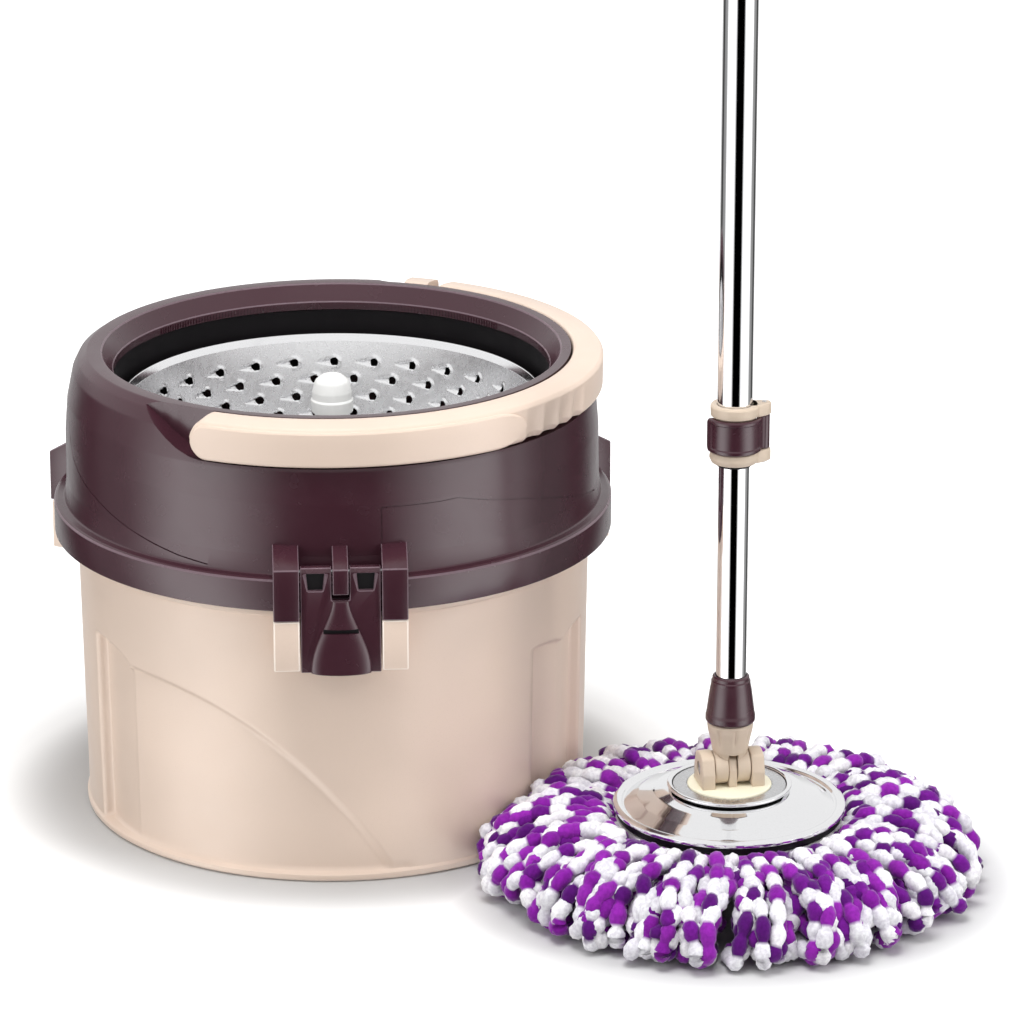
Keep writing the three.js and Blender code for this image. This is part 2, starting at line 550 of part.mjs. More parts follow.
const joint = new THREE.Group();
joint.rotation.z = degrees(MOP.yaw);
place(joint, 'pivot_bracket', pivotBracket(), BEIGE);
place(joint, 'pivot_pin', pivotPin(), SATIN_STEEL);
place(joint, 'bracket_screw_1', bracketScrew(1), SATIN_STEEL);
place(joint, 'bracket_screw_2', bracketScrew(-1), SATIN_STEEL);
place(joint, 'yoke', yoke(), BEIGE);
place(joint, 'ferrule', ferrule(), BROWN);
place(joint, 'lower_tube', lowerTube(), BRIGHT_STEEL);
place(joint, 'ferrule_screw', ferruleScrew(), SATIN_STEEL);
place(joint, 'slide_bush', slideBush(), WHITE);
place(joint, 'nut_retainer', nutRetainer(), WHITE);
place(joint, 'drive_nut', driveNut(), BLACK);
place(joint, 'twist_rod', twistRod(), SATIN_STEEL);
place(joint, 'rod_plug', rodPlug(), BLACK);
place(joint, 'upper_tube', upperTube(), BRIGHT_STEEL);
place(joint, 'clamp_body', clampBody(), BEIGE);
place(joint, 'clamp_collet', clampCollet(), BLACK);
place(joint, 'clamp_lever', clampLever(), BROWN);
place(joint, 'clamp_lever_pin', clampLeverPin(), SATIN_STEEL);
place(joint, 'clamp_rivet', clampRivet(), SATIN_STEEL);
place(joint, 'hand_grip', handGrip(), BROWN);
place(joint, 'hanger_cap', hangerCap(), BROWN);
mopHead.add(joint);

set.add(bucket, mopHead);
export default set;
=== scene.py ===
import json
import math

import bmesh
import bpy
import numpy as np
from mathutils import Matrix, Vector


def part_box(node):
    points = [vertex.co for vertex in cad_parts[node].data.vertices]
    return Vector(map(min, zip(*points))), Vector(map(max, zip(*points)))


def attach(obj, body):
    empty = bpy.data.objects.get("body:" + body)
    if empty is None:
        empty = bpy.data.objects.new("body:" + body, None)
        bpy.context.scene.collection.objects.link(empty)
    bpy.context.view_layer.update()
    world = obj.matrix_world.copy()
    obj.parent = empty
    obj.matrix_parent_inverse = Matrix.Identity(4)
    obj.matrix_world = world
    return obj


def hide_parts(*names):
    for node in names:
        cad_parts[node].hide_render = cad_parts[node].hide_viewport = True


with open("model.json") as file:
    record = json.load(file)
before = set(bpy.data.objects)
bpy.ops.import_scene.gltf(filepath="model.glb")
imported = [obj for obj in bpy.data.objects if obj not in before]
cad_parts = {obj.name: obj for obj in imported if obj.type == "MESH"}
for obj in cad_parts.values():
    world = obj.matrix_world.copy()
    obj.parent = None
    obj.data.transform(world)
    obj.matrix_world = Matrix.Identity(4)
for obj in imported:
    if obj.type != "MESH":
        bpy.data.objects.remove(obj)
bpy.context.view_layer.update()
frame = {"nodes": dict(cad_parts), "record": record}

MM = 0.001
random = np.random.default_rng(31)


def extent(node):
    """A CAD node's lowest and highest corner, in millimetres."""
    low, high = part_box(node)
    return np.array(low) / MM, np.array(high) / MM


# ---- driving dimensions ----
LATCH_TURN = {"front": 0, "right": 120, "left": 240}
MOP_CENTRE = sum(extent("mop_disc")) / 2
MOP_YAW = 8.7
BAIL_AXIS = 283.0
PIVOT_AT = 73.5  # height of the mop head's tilt axis
FLANGE_FROM = 181.0
LEVER_LOW = extent("latch_lever_front")[0][2]
LEVER_PIVOT = 208.4


# ---- finishes ----
def node(tree, kind, **inputs):
    """A shader node with its sockets and settings given by name."""
    made = tree.nodes.new(kind)
    for name, value in inputs.items():
        key = name.replace("_", " ")
        if key in made.inputs:
            made.inputs[key].default_value = value
        else:
            setattr(made, name, value)
    return made


def feed(tree, socket, value):
    """Links a socket to another node's output, or sets it to a constant."""
    if isinstance(value, bpy.types.NodeSocket):
        tree.links.new(value, socket)
    else:
        socket.default_value = (*value, 1) if socket.type == "RGBA" else value


def maths(tree, operation, *terms):
    made = node(tree, "ShaderNodeMath", operation=operation)
    for socket, term in zip(made.inputs, terms):
        feed(tree, socket, term)
    return made.outputs[0]


def noise(tree, scale, detail=3.0, stretch=(1, 1, 1)):
    """Noise over the piece's own place, so that it stays put when the piece moves."""
    place = node(tree, "ShaderNodeTexCoord")
    mapping = node(tree, "ShaderNodeMapping", Scale=stretch)
    grain = node(tree, "ShaderNodeTexNoise", Scale=scale, Detail=detail)
    feed(tree, mapping.inputs["Vector"], place.outputs["Object"])
    feed(tree, grain.inputs["Vector"], mapping.outputs["Vector"])
    return grain.outputs["Fac"]


def spread(tree, source, low, high, from_low=0.25, from_high=0.75):
    """The source's range from_low to from_high, eased onto low to high."""
    ramp = node(tree, "ShaderNodeMapRange", interpolation_type="SMOOTHSTEP",
                From_Min=from_low, From_Max=from_high, To_Min=low, To_Max=high)
    feed(tree, ramp.inputs["Value"], source)
    return ramp.outputs["Result"]


def mix(tree, factor, first, second, kind="RGBA", **settings):
    """A blend of two colours, or of two numbers where kind is FLOAT."""
    made = node(tree, "ShaderNodeMix", data_type=kind, **settings)
    at, out = {"RGBA": (6, 2), "FLOAT": (2, 0)}[kind]
    for place, value in ((0, factor), (at, first), (at + 1, second)):
        feed(tree, made.inputs[place], value)
    return made.outputs[out]


def surface(name, roughness, bump=0.0, bump_scale=900.0, rough_scale=60.0, stretch=(1, 1, 1), **fixed):
    """A principled material whose roughness wanders between two values and whose skin has a fine bump."""
    material = bpy.data.materials.new(name)
    material.use_nodes = True
    tree = material.node_tree
    shader = tree.nodes["Principled BSDF"]
    for key, value in fixed.items():
        shader.inputs[key.replace("_", " ")].default_value = value
    wander = noise(tree, rough_scale, stretch=stretch)
    feed(tree, shader.inputs["Roughness"], spread(tree, wander, *roughness))
    if bump:
        relief = node(tree, "ShaderNodeBump", Strength=bump, Distance=0.0002)
        feed(tree, relief.inputs["Height"], noise(tree, bump_scale, stretch=stretch))
        feed(tree, shader.inputs["Normal"], relief.outputs["Normal"])
    return material, tree, shader


def plastic(name, colour, roughness, bump=0.12, drift=0.06, **fixed):
    """Moulded plastic: a faint flow of tone, a fine skin and a little unevenness in its gloss."""
    material, tree, shader = surface(name, roughness, bump=bump, bump_scale=1400.0, **fixed)
    darker = tuple(c * (1 - drift) for c in colour)
    lighter = tuple(min(1.0, c * (1 + drift)) for c in colour)
    tone = mix(tree, spread(tree, noise(tree, 9.0, 2.0), 0.0, 1.0), darker, lighter)
    speck = spread(tree, noise(tree, 2600.0, 1.0), 0.0, 1.0, 0.62, 0.8)
    speckled = mix(tree, speck, tone, tuple(c * 0.9 for c in colour))
    feed(tree, shader.inputs["Base Color"], speckled)
    return material


def metal(name, colour, roughness, bump=0.0, bump_scale=1500.0, stretch=(1, 1, 1), grain=0.05):
    """Steel: grain that tints the colour a little, and roughness that follows the polishing."""
    material, tree, shader = surface(
        name, roughness, bump=bump, bump_scale=bump_scale, rough_scale=220.0, stretch=stretch, Metallic=1.0)
    darker = tuple(c * (1 - grain) for c in colour)
    speckle = spread(tree, noise(tree, bump_scale * 0.8, stretch=stretch), 0, 1)
    feed(tree, shader.inputs["Base Color"], mix(tree, speckle, darker, colour))
    return material


def chenille():
    """Yarn: the strand's own tint, mottled, with a fibrous skin and a soft sheen."""
    material, tree, shader = surface(
        "yarn_finish", (0.85, 1.0), bump=0.9, bump_scale=1100.0,
        Sheen_Weight=0.35, Sheen_Roughness=0.4, Specular_IOR_Level=0.15)
    tint = node(tree, "ShaderNodeAttribute", attribute_name="tint").outputs["Color"]
    mottled = mix(tree, spread(tree, noise(tree, 420.0), 0, 1), (0.72, 0.7, 0.74), (1, 1, 1))
    shade = mix(tree, 1.0, tint, mottled, blend_type="MULTIPLY")
    feed(tree, shader.inputs["Base Color"], shade)
    return material


FINISH = {
    "cream_plastic": plastic("cream_finish", (0.72, 0.575, 0.475), (0.34, 0.42), Specular_IOR_Level=0.75),
    "brown_plastic": plastic(
        "brown_finish", (0.046, 0.0135, 0.0215), (0.23, 0.28), drift=0.05, Specular_IOR_Level=0.6),
    "beige_plastic": plastic("beige_finish", (0.60, 0.49, 0.385), (0.38, 0.46), bump=0.2),
    "white_plastic": plastic("white_finish", (0.86, 0.86, 0.84), (0.22, 0.34)),
    "black_plastic": plastic("black_finish", (0.006, 0.005, 0.006), (0.5, 0.6), Specular_IOR_Level=0.2),
    "bright_steel": metal("bright_finish", (0.90, 0.90, 0.91), (0.05, 0.09), grain=0.03),
    "satin_steel": metal("satin_finish", (0.62, 0.62, 0.63), (0.24, 0.36), bump=0.15, stretch=(1, 1, 6)),
    "yarn": chenille(),
}
BASKET_STEEL = metal(
    "basket_finish", (0.96, 0.96, 0.97), (0.24, 0.30), bump=0.05, bump_scale=1300.0, grain=0.03)
SPUN_STEEL = metal(
    "spun_finish", (0.66, 0.66, 0.67), (0.22, 0.32), bump=0.3, bump_scale=1800.0, grain=0.16)
# Lighter brown and cream for bevels and edges: painted highlights, standing in for the bright lines that
# light draws along edges.
BROWN_PAINTED_HIGHLIGHT = plastic("brown_painted_highlight_finish", (0.14, 0.09, 0.108), (0.25, 0.35), drift=0.1)
CREAM_PAINTED_HIGHLIGHT = plastic("cream_painted_highlight_finish", (0.90, 0.80, 0.71), (0.3, 0.4))
RIM_STEEL = metal("rim_finish", (0.92, 0.92, 0.93), (0.12, 0.18), grain=0.03)
PALE_PLATE = plastic("pale_plate_finish", (0.80, 0.76, 0.60), (0.35, 0.45))


# ---- meshes ----
def placed(name, data):
    """A new object in the scene."""
    made = bpy.data.objects.new(name, data)
    bpy.context.scene.collection.objects.link(made)
    return made


def smoothed(piece, sharp):
    """The piece shaded smooth, apart from edges sharper than an angle in degrees."""
    mesh = piece.data
    mesh.polygons.foreach_set("use_smooth", [True] * len(mesh.polygons))
    mesh.set_sharp_from_angle(angle=math.radians(sharp))
    mesh.update()
    return piece


def solid(name, points, faces, sharp=32.0):
    """A mesh object from points in millimetres, welded, with its faces pointing out."""
    mesh = bpy.data.meshes.new(name)
    mesh.from_pydata((np.asarray(points).reshape(-1, 3) * MM).tolist(), [], faces)
    work = bmesh.new()
    work.from_mesh(mesh)
    bmesh.ops.remove_doubles(work, verts=work.verts, dist=0.002 * MM)
    bmesh.ops.recalc_face_normals(work, faces=work.faces)
    work.to_mesh(mesh)
    work.free()
    return smoothed(placed(name, mesh), sharp)


def skin(rows, wrap_rows=False, wrap_points=True, caps=True):
    """The faces between rows of points, as solid() takes them."""
    count, width = rows.shape[:2]
    r, c = np.meshgrid(np.arange(count if wrap_rows else count - 1),
                       np.arange(width if wrap_points else width - 1), indexing="ij")
    r2, c2 = (r + 1) % count, (c + 1) % width
    corners = [r * width + c, r * width + c2, r2 * width + c2, r2 * width + c]
    faces = np.stack(corners, -1).reshape(-1, 4).tolist()
    if caps and not wrap_rows:
        faces += [list(range(width)), [(count - 1) * width + i for i in range(width)]]
    return rows, faces


def gathered(skins):
    """Several skins as one array of points and one list of faces."""
    points, faces, total = [], [], 0
    for rows, sides in skins:
        faces += [[i + total for i in face] for face in sides]
        points.append(rows.reshape(-1, 3))
        total += len(points[-1])
    return np.vstack(points), faces


def fillet(points, steps=4, closed=True):
    """An outline with its corners rounded by each point's third number."""
    points = [tuple(p) + (0.0,) * (3 - len(p)) for p in points]
    out = []
    for i, (x, y, radius) in enumerate(points):
        corner = np.array((x, y), float)
        if radius == 0 or (not closed and i in (0, len(points) - 1)):
            out.append(corner)
            continue
        back = np.array(points[i - 1][:2]) - corner
        ahead = np.array(points[(i + 1) % len(points)][:2]) - corner
        back_length, ahead_length = np.linalg.norm(back), np.linalg.norm(ahead)
        back, ahead = back / back_length, ahead / ahead_length
        half = math.acos(float(np.clip(back @ ahead, -1, 1))) / 2
        if half > math.radians(89):
            reach = min(radius, 0.4 * back_length, 0.4 * ahead_length)
            out += [corner + back * reach * (1 - 2 * t) for t in np.linspace(0, 1, steps + 1)]
            continue
        reach = min(radius / math.tan(half), 0.45 * back_length, 0.45 * ahead_length)
        middle = (back + ahead) / np.linalg.norm(back + ahead)
        centre = corner + middle * reach / math.cos(half)
        first, last = corner + back * reach - centre, corner + ahead * reach - centre
        start = math.atan2(first[1], first[0])
        turn = (math.atan2(last[1], last[0]) - start + math.pi) % (2 * math.pi) - math.pi
        arc = np.linalg.norm(first)
        out += [centre + arc * np.array((math.cos(start + turn * t), math.sin(start + turn * t)))
                for t in np.linspace(0, 1, steps + 1)]
    return np.array(out)


def denser(outline, spacing, closed=True):
    """An outline with points added wherever two lie further apart than the spacing."""
    out = []
    last = len(outline) if closed else len(outline) - 1
    for i in range(last):
        a, b = outline[i], outline[(i + 1) % len(outline)]
        cuts = max(1, math.ceil(np.linalg.norm(b - a) / spacing))
        out += [a + (b - a) * k / cuts for k in range(cuts)]
    if not closed:
        out.append(outline[-1])
    return np.array(out)


def polar(angles, radii, heights, centre=(0.0, 0.0)):
    """Points at angles in degrees, radii and heights, as one array."""
    a = np.radians(angles)
    return np.stack([radii * np.cos(a) + centre[0], radii * np.sin(a) + centre[1], heights + 0 * a], -1)


def section(angle, outline, lift=0.0):
    """An outline of (radius, height) points stood upright at an angle."""
    return polar(np.full(len(outline), angle), outline[:, 0], outline[:, 1] + lift)


def lathe(name, profile, steps=128, centre=(0.0, 0.0), warp=None, sharp=32.0):
    """A solid of revolution from a closed outline of (radius, height) points."""
    profile = np.asarray(profile)[:, :2]
    angles = np.arange(steps) * 360.0 / steps
    a, r = np.meshgrid(angles, profile[:, 0], indexing="ij")
    z = np.broadcast_to(profile[:, 1], r.shape)
    if warp:
        r, z = warp(a, r, z)
    return solid(name, *skin(polar(a, r, z, centre), wrap_rows=True), sharp=sharp)


def prism(name, outline, start, end, axes, sharp=32.0):
    """A slab with a flat outline. axes puts (first, second, depth) in the order x, y, z, with a sign each."""
    outline = np.asarray(outline)[:, :2]
    layers = []
    for depth in (start, end):
        flat = np.column_stack([outline, np.full(len(outline), depth)])
        layers.append(np.stack([flat[:, abs(k) - 1] * np.sign(k) for k in axes], -1))
    return solid(name, *skin(np.array(layers)), sharp=sharp)


FRONT = (1, -3, 2)  # an outline of (across, up), with its depth towards -Y
SIDE = (3, -1, 2)  # an outline of (out towards -Y, up), with its depth across
PLAN = (1, 2, 3)  # an outline of (x, y), with its depth up


def slab(name, x, y, z):
    return prism(name, [(x[0], y[0]), (x[1], y[0]), (x[1], y[1]), (x[0], y[1])], z[0], z[1], PLAN)


def applied(piece, sharp=32.0):
    """The piece with its modifiers worked into its mesh."""
    graph = bpy.context.evaluated_depsgraph_get()
    mesh = bpy.data.meshes.new_from_object(piece.evaluated_get(graph))
    piece.modifiers.clear()
    piece.data = mesh
    return smoothed(piece, sharp)


def add_painted_highlight(piece, trim):
    """Two material places: the first for the piece's own finish, which keep() fills, and one for the trim, a
    lighter finish that paints a highlight on edges.
    """
    piece.data.materials.append(trim)
    piece.data.materials.append(trim)


def bevelled(piece, width, segments=3, angle=35.0, sharp=32.0, trim=None):
    """The piece with its sharp edges rounded off, and those bevels in the trim's finish if there is one: a
    painted highlight along the edges.
    """
    edge = piece.modifiers.new("edge", "BEVEL")
    if trim:
        add_painted_highlight(piece, trim)
        edge.material = 1
    edge.width, edge.segments = width * MM, segments
    edge.limit_method, edge.angle_limit = "ANGLE", math.radians(angle)
    edge.miter_outer = "MITER_ARC"
    return applied(piece, sharp)


def carved(piece, *cutters, operation="DIFFERENCE", sharp=32.0):
    """The piece with others cut from it, or joined to it; those others are used up."""
    for cutter in cutters:
        step = piece.modifiers.new("cut", "BOOLEAN")
        step.object, step.operation, step.solver = cutter, operation, "EXACT"
        applied(piece, sharp)
        bpy.data.objects.remove(cutter)
    return piece


def moved(piece, angle=0.0, shift=(0.0, 0.0, 0.0)):
    """The piece with its mesh turned about Z, then shifted by millimetres."""
    move = Matrix.Translation(Vector(shift) * MM) @ Matrix.Rotation(math.radians(angle), 4, "Z")
    piece.data.transform(move)
    piece.data.update()
    return piece


def to_mop(piece):
    return moved(piece, MOP_YAW, (MOP_CENTRE[0], MOP_CENTRE[1], 0))


def keep(piece, slot, body, *stands_for, finish=None):
    """Gives a piece its finish, taken from its slot unless one is given, puts it in its body, and hides the
    CAD nodes that it stands for.
    """
    if len(piece.data.materials) == 2:  # the edges' painted-highlight finish has been added
        piece.data.materials[0] = finish or FINISH[slot]
    else:
        piece.data.materials.clear()
        piece.data.materials.append(finish or FINISH[slot])
    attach(piece, body)
    if stands_for:
        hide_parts(*stands_for)
    return piece


def smoothstep(value, low, high):
    t = np.clip((value - low) / (high - low), 0, 1)
    return t * t * (3 - 2 * t)


# ---- tub ----
PANEL = {
    "from": 200.5, "ramp": 202.0, "arch_from": 202.4, "to": 216.8, "arch": 14.0, "shoulder": 115.0,
    "deep": 6.4, "shallow": 2.9}
SWEEP = {"from": 216.8, "to": 281.0, "high": 121.0, "fall": 109.0, "power": 2.5, "depth": 2.5}
PANEL_TURNS = ((1, 0.0), (-1, 544.0), (1, -118.0))  # as drawn, mirrored to the right, and one behind
PANEL_PACE = ((0, 1.5), (76, 0.5), (102, 1.5), (194, 0.45), (284, 1.5), (320, 0.5), (350, 1.5), (360, 0))


def panel_dent(angle, height):
    """Depth of the tall recess with an arched top: a steep side, a slanted floor and a crisp far edge."""
    across = np.clip((angle - PANEL["arch_from"]) / (PANEL["to"] - PANEL["arch_from"]), 0, 1)
    top = PANEL["shoulder"] + PANEL["arch"] * np.sqrt(1 - across ** 2)
    inside = smoothstep(angle, PANEL["from"], PANEL["ramp"])
    inside = inside * (1 - smoothstep(angle, PANEL["to"], PANEL["to"] + 0.5))
    depth = PANEL["deep"] + (PANEL["shallow"] - PANEL["deep"]) * across
    return depth * inside * (1 - smoothstep(height, top - 1.6, top + 1.8))


def sweep_dent(angle, height):
    """Depth of the field under the long curved step that falls from the panel's shoulder to the base."""
    span = SWEEP["to"] - SWEEP["from"]
    along = np.clip((angle - SWEEP["from"]) / span, 0, 1)
    edge = SWEEP["high"] - SWEEP["fall"] * along ** SWEEP["power"]
    slope = SWEEP["fall"] * SWEEP["power"] * along ** (SWEEP["power"] - 1) / (span * 2.8)
    below = (edge - height) / np.sqrt(1 + slope ** 2)
    field = np.clip(below / (1.8 + 4.2 * along), 0, 1) * (angle > PANEL["to"]) * (angle < SWEEP["to"] + 4)
    return SWEEP["depth"] * field


def tub_dent(angle, height):
    """Depth of all the tub's recesses, which fade out above its foot."""
    angle = angle % 360
    depth = sweep_dent(angle, height)
    for sign, shift in PANEL_TURNS:
        depth = np.maximum(depth, panel_dent((sign * angle + shift) % 360, height))
    return depth * smoothstep(height, 4.0, 8.5)


def tub():
    """The tub's shell with its bead and rim, turned in finer steps where it is dented."""
    rim = extent("tub")[1][2]
    bead = rim - 23.5
    outside = fillet([
        (0, 2.4), (138, 2.4, 1), (142, 0, 1), (156.6, 0, 1), (158.9, 1.6, 1.2), (159.2, 4.8, 0.5),
        (157.6, 6.4, 0.6), (160.6, bead, 0.6), (164.2, bead + 1.6, 0.8), (164.2, bead + 4.6, 0.8),
        (162.0, bead + 6.4, 0.8), (162.4, rim - 5, 0.6), (170.5, rim - 4.5, 0.8),
        (170.5, rim, 0.8)], closed=False)
    inside = fillet([(159, rim, 0.8), (157.4, bead, 3), (154, 7.5, 3), (149, 3.9, 3), (0, 3.9)], closed=False)
    outside, inside = denser(outside[1:], 1.4, closed=False), denser(inside[:-1], 8.0, closed=False)
    profile = np.vstack([(0, 2.4), outside, inside, (0, 3.9)])
    angles = np.concatenate([np.arange(a, b, pace) for (a, pace), (b, _) in zip(PANEL_PACE, PANEL_PACE[1:])])
    a, r = np.meshgrid(angles, profile[:, 0], indexing="ij")
    z = np.broadcast_to(profile[:, 1], r.shape)
    r = np.where(r > 148, r - tub_dent(a, z), r)
    body = solid("tub_shell", *skin(polar(a, r, z), wrap_rows=True), sharp=62)
    return keep(body, "cream_plastic", "bucket", "tub")


def tub_fittings(side, angle):
    """The cream blocks beside one latch and the bar that its hook catches."""
    pieces = []
    for name, x in (("a", -40.3), ("b", 24.7)):
        guard = slab(f"guard_{side}_{name}", (x, x + 15.6), (-183.2, -150), (147, FLANGE_FROM - 2.4))
        # The guards' bevels get a painted highlight in a lighter cream.
        pieces.append(bevelled(guard, 0.9, trim=CREAM_PAINTED_HIGHLIGHT))
    outline = [(150, 153.5), (170, 153.5), (170, 155.5), (164, 160.5), (150, 160.5)]
    pieces.append(bevelled(prism(f"catch_{side}", outline, -16.5, 16.5, SIDE), 0.6))
    for piece in pieces:
        keep(moved(piece, angle), "cream_plastic", "bucket")


# ---- upper housing ----
# Its outline as (radius, height, rounding): flange, dome, crest and funnel.
RIM_OUTSIDE = [
    (175, 181, 0.7), (175, 199.8, 0.2), (174.2, 200.9, 0.2), (172.8, 201.6, 0.2), (168.4, 201.9, 1.2),
    (167, 214, 5), (166.6, 246, 8), (165, 266, 10), (161.3, 284, 9), (157.6, 291.4, 3.5), (153, 294.6, 0.6),
    (152.2, 295, 0.5), (143.4, 295, 0.4), (142.6, 294.2, 0.4), (136.6, 284.6, 0.4), (136, 284, 0.4),
    (136, 279, 0.6), (139, 278.6, 0.5), (139, 236, 0.8), (141, 236, 0.8)]
DOME = ((201.9, 214, 246, 266, 284, 291.8), (167.6, 167.0, 166.6, 165.2, 161.3, 157.3))  # heights, radii
# The hollow behind it, where the rim stands full and where it is cut away for the bail.
HOLLOW_FULL = [(141, 282, 1), (144.6, 290.6, 1), (152, 290.6, 2), (159.4, 274, 4), (163, 246, 4)]
HOLLOW_LOW = [(141, 282, 1), (144, 289, 1), (146.4, 289, 1), (146.6, 265, 1), (161, 264.6, 3)]
RIM_FOOT = [(163.1, 201, 2), (163.1, 197.2, 0.5), (171.5, 197.2, 0.5), (171.5, 181, 0.7)]
# The bail's seat along the rim: angle, the height of its floor and the radius of its inner wall.
SEAT = (
    (221.8, 224, 227, 230.5, 234, 237.5, 240, 433.6, 434.6, 436.6, 438.6),
    (295.4, 290, 284, 277.5, 272.2, 268.8, 267.8, 267.8, 271, 283, 295.4),
    (157.4, 154.4, 151.8, 150.2, 149.6, 149.4, 149.4, 149.4, 149.6, 151.5, 156))
# The seams on the dome, as (angle, height).
SEAMS = (
    ((189, 259), (192, 249), (195, 239), (199, 233), (204, 228), (209, 224), (215, 219), (221, 214.5),
     (228.5, 210), (235, 206.6), (242, 204.2)),
    ((278.7, 243.6), (291.5, 243.8), (295.5, 244.4), (302.5, 239.4), (313.8, 233), (334, 218.5), (345, 212)),
    ((278.7, 209), (278.7, 243.6)))


def seat_cutter():
    """The space of the bail's seat: it deepens from a point on the crest, and ends in a short steep ramp."""
    spans = (SEAT[0][0], 240, 0.75), (240, 433.6, 1.5), (433.6, 438.7, 0.5)
    angles = np.concatenate([np.arange(*span) for span in spans])
    floor, wall = np.interp(angles, *SEAT[:2]), np.interp(angles, SEAT[0], SEAT[2])
    rows = [polar(np.full(4, a), np.array((w, 190, 190, w)), np.array((z, z, 310, 310)))
            for a, z, w in zip(angles, floor, wall)]
    return solid("seat_space", *skin(np.array(rows)))


def lowness(angle):
    """How far the hollow gives way to the bail's seat: 0 under the full rim, 1 beside the seat."""
    angle = angle if angle > 180 else angle + 360
    return float(np.interp(angle, (209, 217, 442, 449), (0, 1, 1, 0)))


def groove(name, route, half=0.42):
    """A thin square rod along a seam's (angle, height) points, to be cut from the dome."""
    route = denser(np.array([(a, np.interp(z, *DOME), z) for a, z in route]), 1.2, closed=False)
    deep, wide = half * np.array((-1, -1, 4, 4)), np.array((-1, 1, 1, -1))
    if abs(route[0][0] - route[-1][0]) < 0.5:  # an upright seam has its width along the dome
        rows = [polar(a + half / 2.9 * wide, r + deep, np.full(4, z)) for a, r, z in route]
    else:
        rows = [polar(np.full(4, a), r + deep, z + half * wide) for a, r, z in route]
    return solid(name, *skin(np.array(rows)))


def paint_edge_highlights(piece, chosen, trim):
    """Puts the faces whose middle radius and height pass a test into a second finish, a lighter one that
    paints a highlight on them.
    """
    mesh = piece.data
    middles = np.empty(len(mesh.polygons) * 3)
    mesh.polygons.foreach_get("center", middles)
    middles = middles.reshape(-1, 3) / MM
    picked = chosen(np.hypot(middles[:, 0], middles[:, 1]), middles[:, 2])
    mesh.materials.clear()
    add_painted_highlight(piece, trim)
    mesh.polygons.foreach_set("material_index", picked.astype(int))


def painted_highlight_edge(radius, height):
    """Whether a place is on the edge of the flange, of the crest or of the funnel's lip, where a highlight is
    painted.
    """
    flange = (radius > 174.1) & (height > 199.7)
    crest = (radius > 142.4) & (radius < 143.6) & (height > 294)
    lip = (radius > 135.8) & (radius < 136.8) & (height > 283.8)
    return flange | crest | lip


def housing():
    columns = []
    for angle in np.arange(0, 360, 0.5):
        t = lowness(angle)
        hollow = [tuple(np.array(full) * (1 - t) + np.array(low) * t)
                  for full, low in zip(HOLLOW_FULL, HOLLOW_LOW)]
        columns.append(section(angle, fillet([*RIM_OUTSIDE, *hollow, *RIM_FOOT], steps=3)))
    body = solid("housing_shell", *skin(np.array(columns), wrap_rows=True), sharp=38)
    cuts = [groove(f"seam_{i}", route) for i, route in enumerate(SEAMS)]
    carved(body, seat_cutter(), *cuts, sharp=30)
    # The edges of the flange, the crest and the lip get a painted highlight.
    paint_edge_highlights(body, painted_highlight_edge, BROWN_PAINTED_HIGHLIGHT)
    keep(body, "brown_plastic", "bucket", "upper_housing")
    # A black ring inside the rim, below the funnel's lip: painted shade, standing in for the dark gap above
    # the basket.
    shade_ring = lathe("rim_shade_ring", [(137, 237), (138.8, 237), (138.8, 278.5), (137, 278.5)], 180)
    keep(shade_ring, "black_plastic", "bucket")


def rim_ribs():
    """The row of small ribs on the rim's inner lip, at the back."""
    ribs = []
    foot = (135.4, -0.5), (136.4, -0.5), (136.4, 0.5), (135.4, 0.5)
    for angle in np.arange(38, 142, 0.95):
        c, s = math.cos(math.radians(angle)), math.sin(math.radians(angle))
        corners = [(x * c - y * s, x * s + y * c) for x, y in foot]
        ribs.append(skin(np.array([[(x, y, z) for x, y in corners] for z in (279.5, 283.2)])))
    return keep(solid("rim_ribs", *gathered(ribs)), "brown_plastic", "bucket")


def housing_fittings(side, angle):
    """The two arms that hold one latch's pin, and the prong between them."""
    top, back = LEVER_PIVOT + 2.8, LEVER_PIVOT + 12.4
    arm_low = FLANGE_FROM - 2.0
    for name, low, x0, x1 in (
            ("arm_a", arm_low, -40.3, -24.7), ("arm_b", arm_low, 24.7, 40.3), ("prong", 195.4, -4.7, 4.7)):
        outline = [(150, low), (184, low), (184, top), (167, back), (150, back)]
        # Their bevels get a painted highlight in a lighter brown.
        piece = bevelled(prism(f"{name}_{side}", outline, x0, x1, SIDE), 0.6, 2, trim=BROWN_PAINTED_HIGHLIGHT)
        keep(moved(piece, angle), "brown_plastic", "bucket")


# ---- latches ----
def window(name, s, top, inset, near, far):
    """A tapering window's space in the lever's face, on one side s of its middle."""
    outline = [(s * (9.4 + inset), top - 3.2 - inset), (s * (20.8 - inset), top - 3.2 - inset),
               (s * (19.8 - inset), top - 14.2 + inset), (s * (10.4 + inset), top - 14.2 + inset)]
    return prism(name, outline, near, far, FRONT)


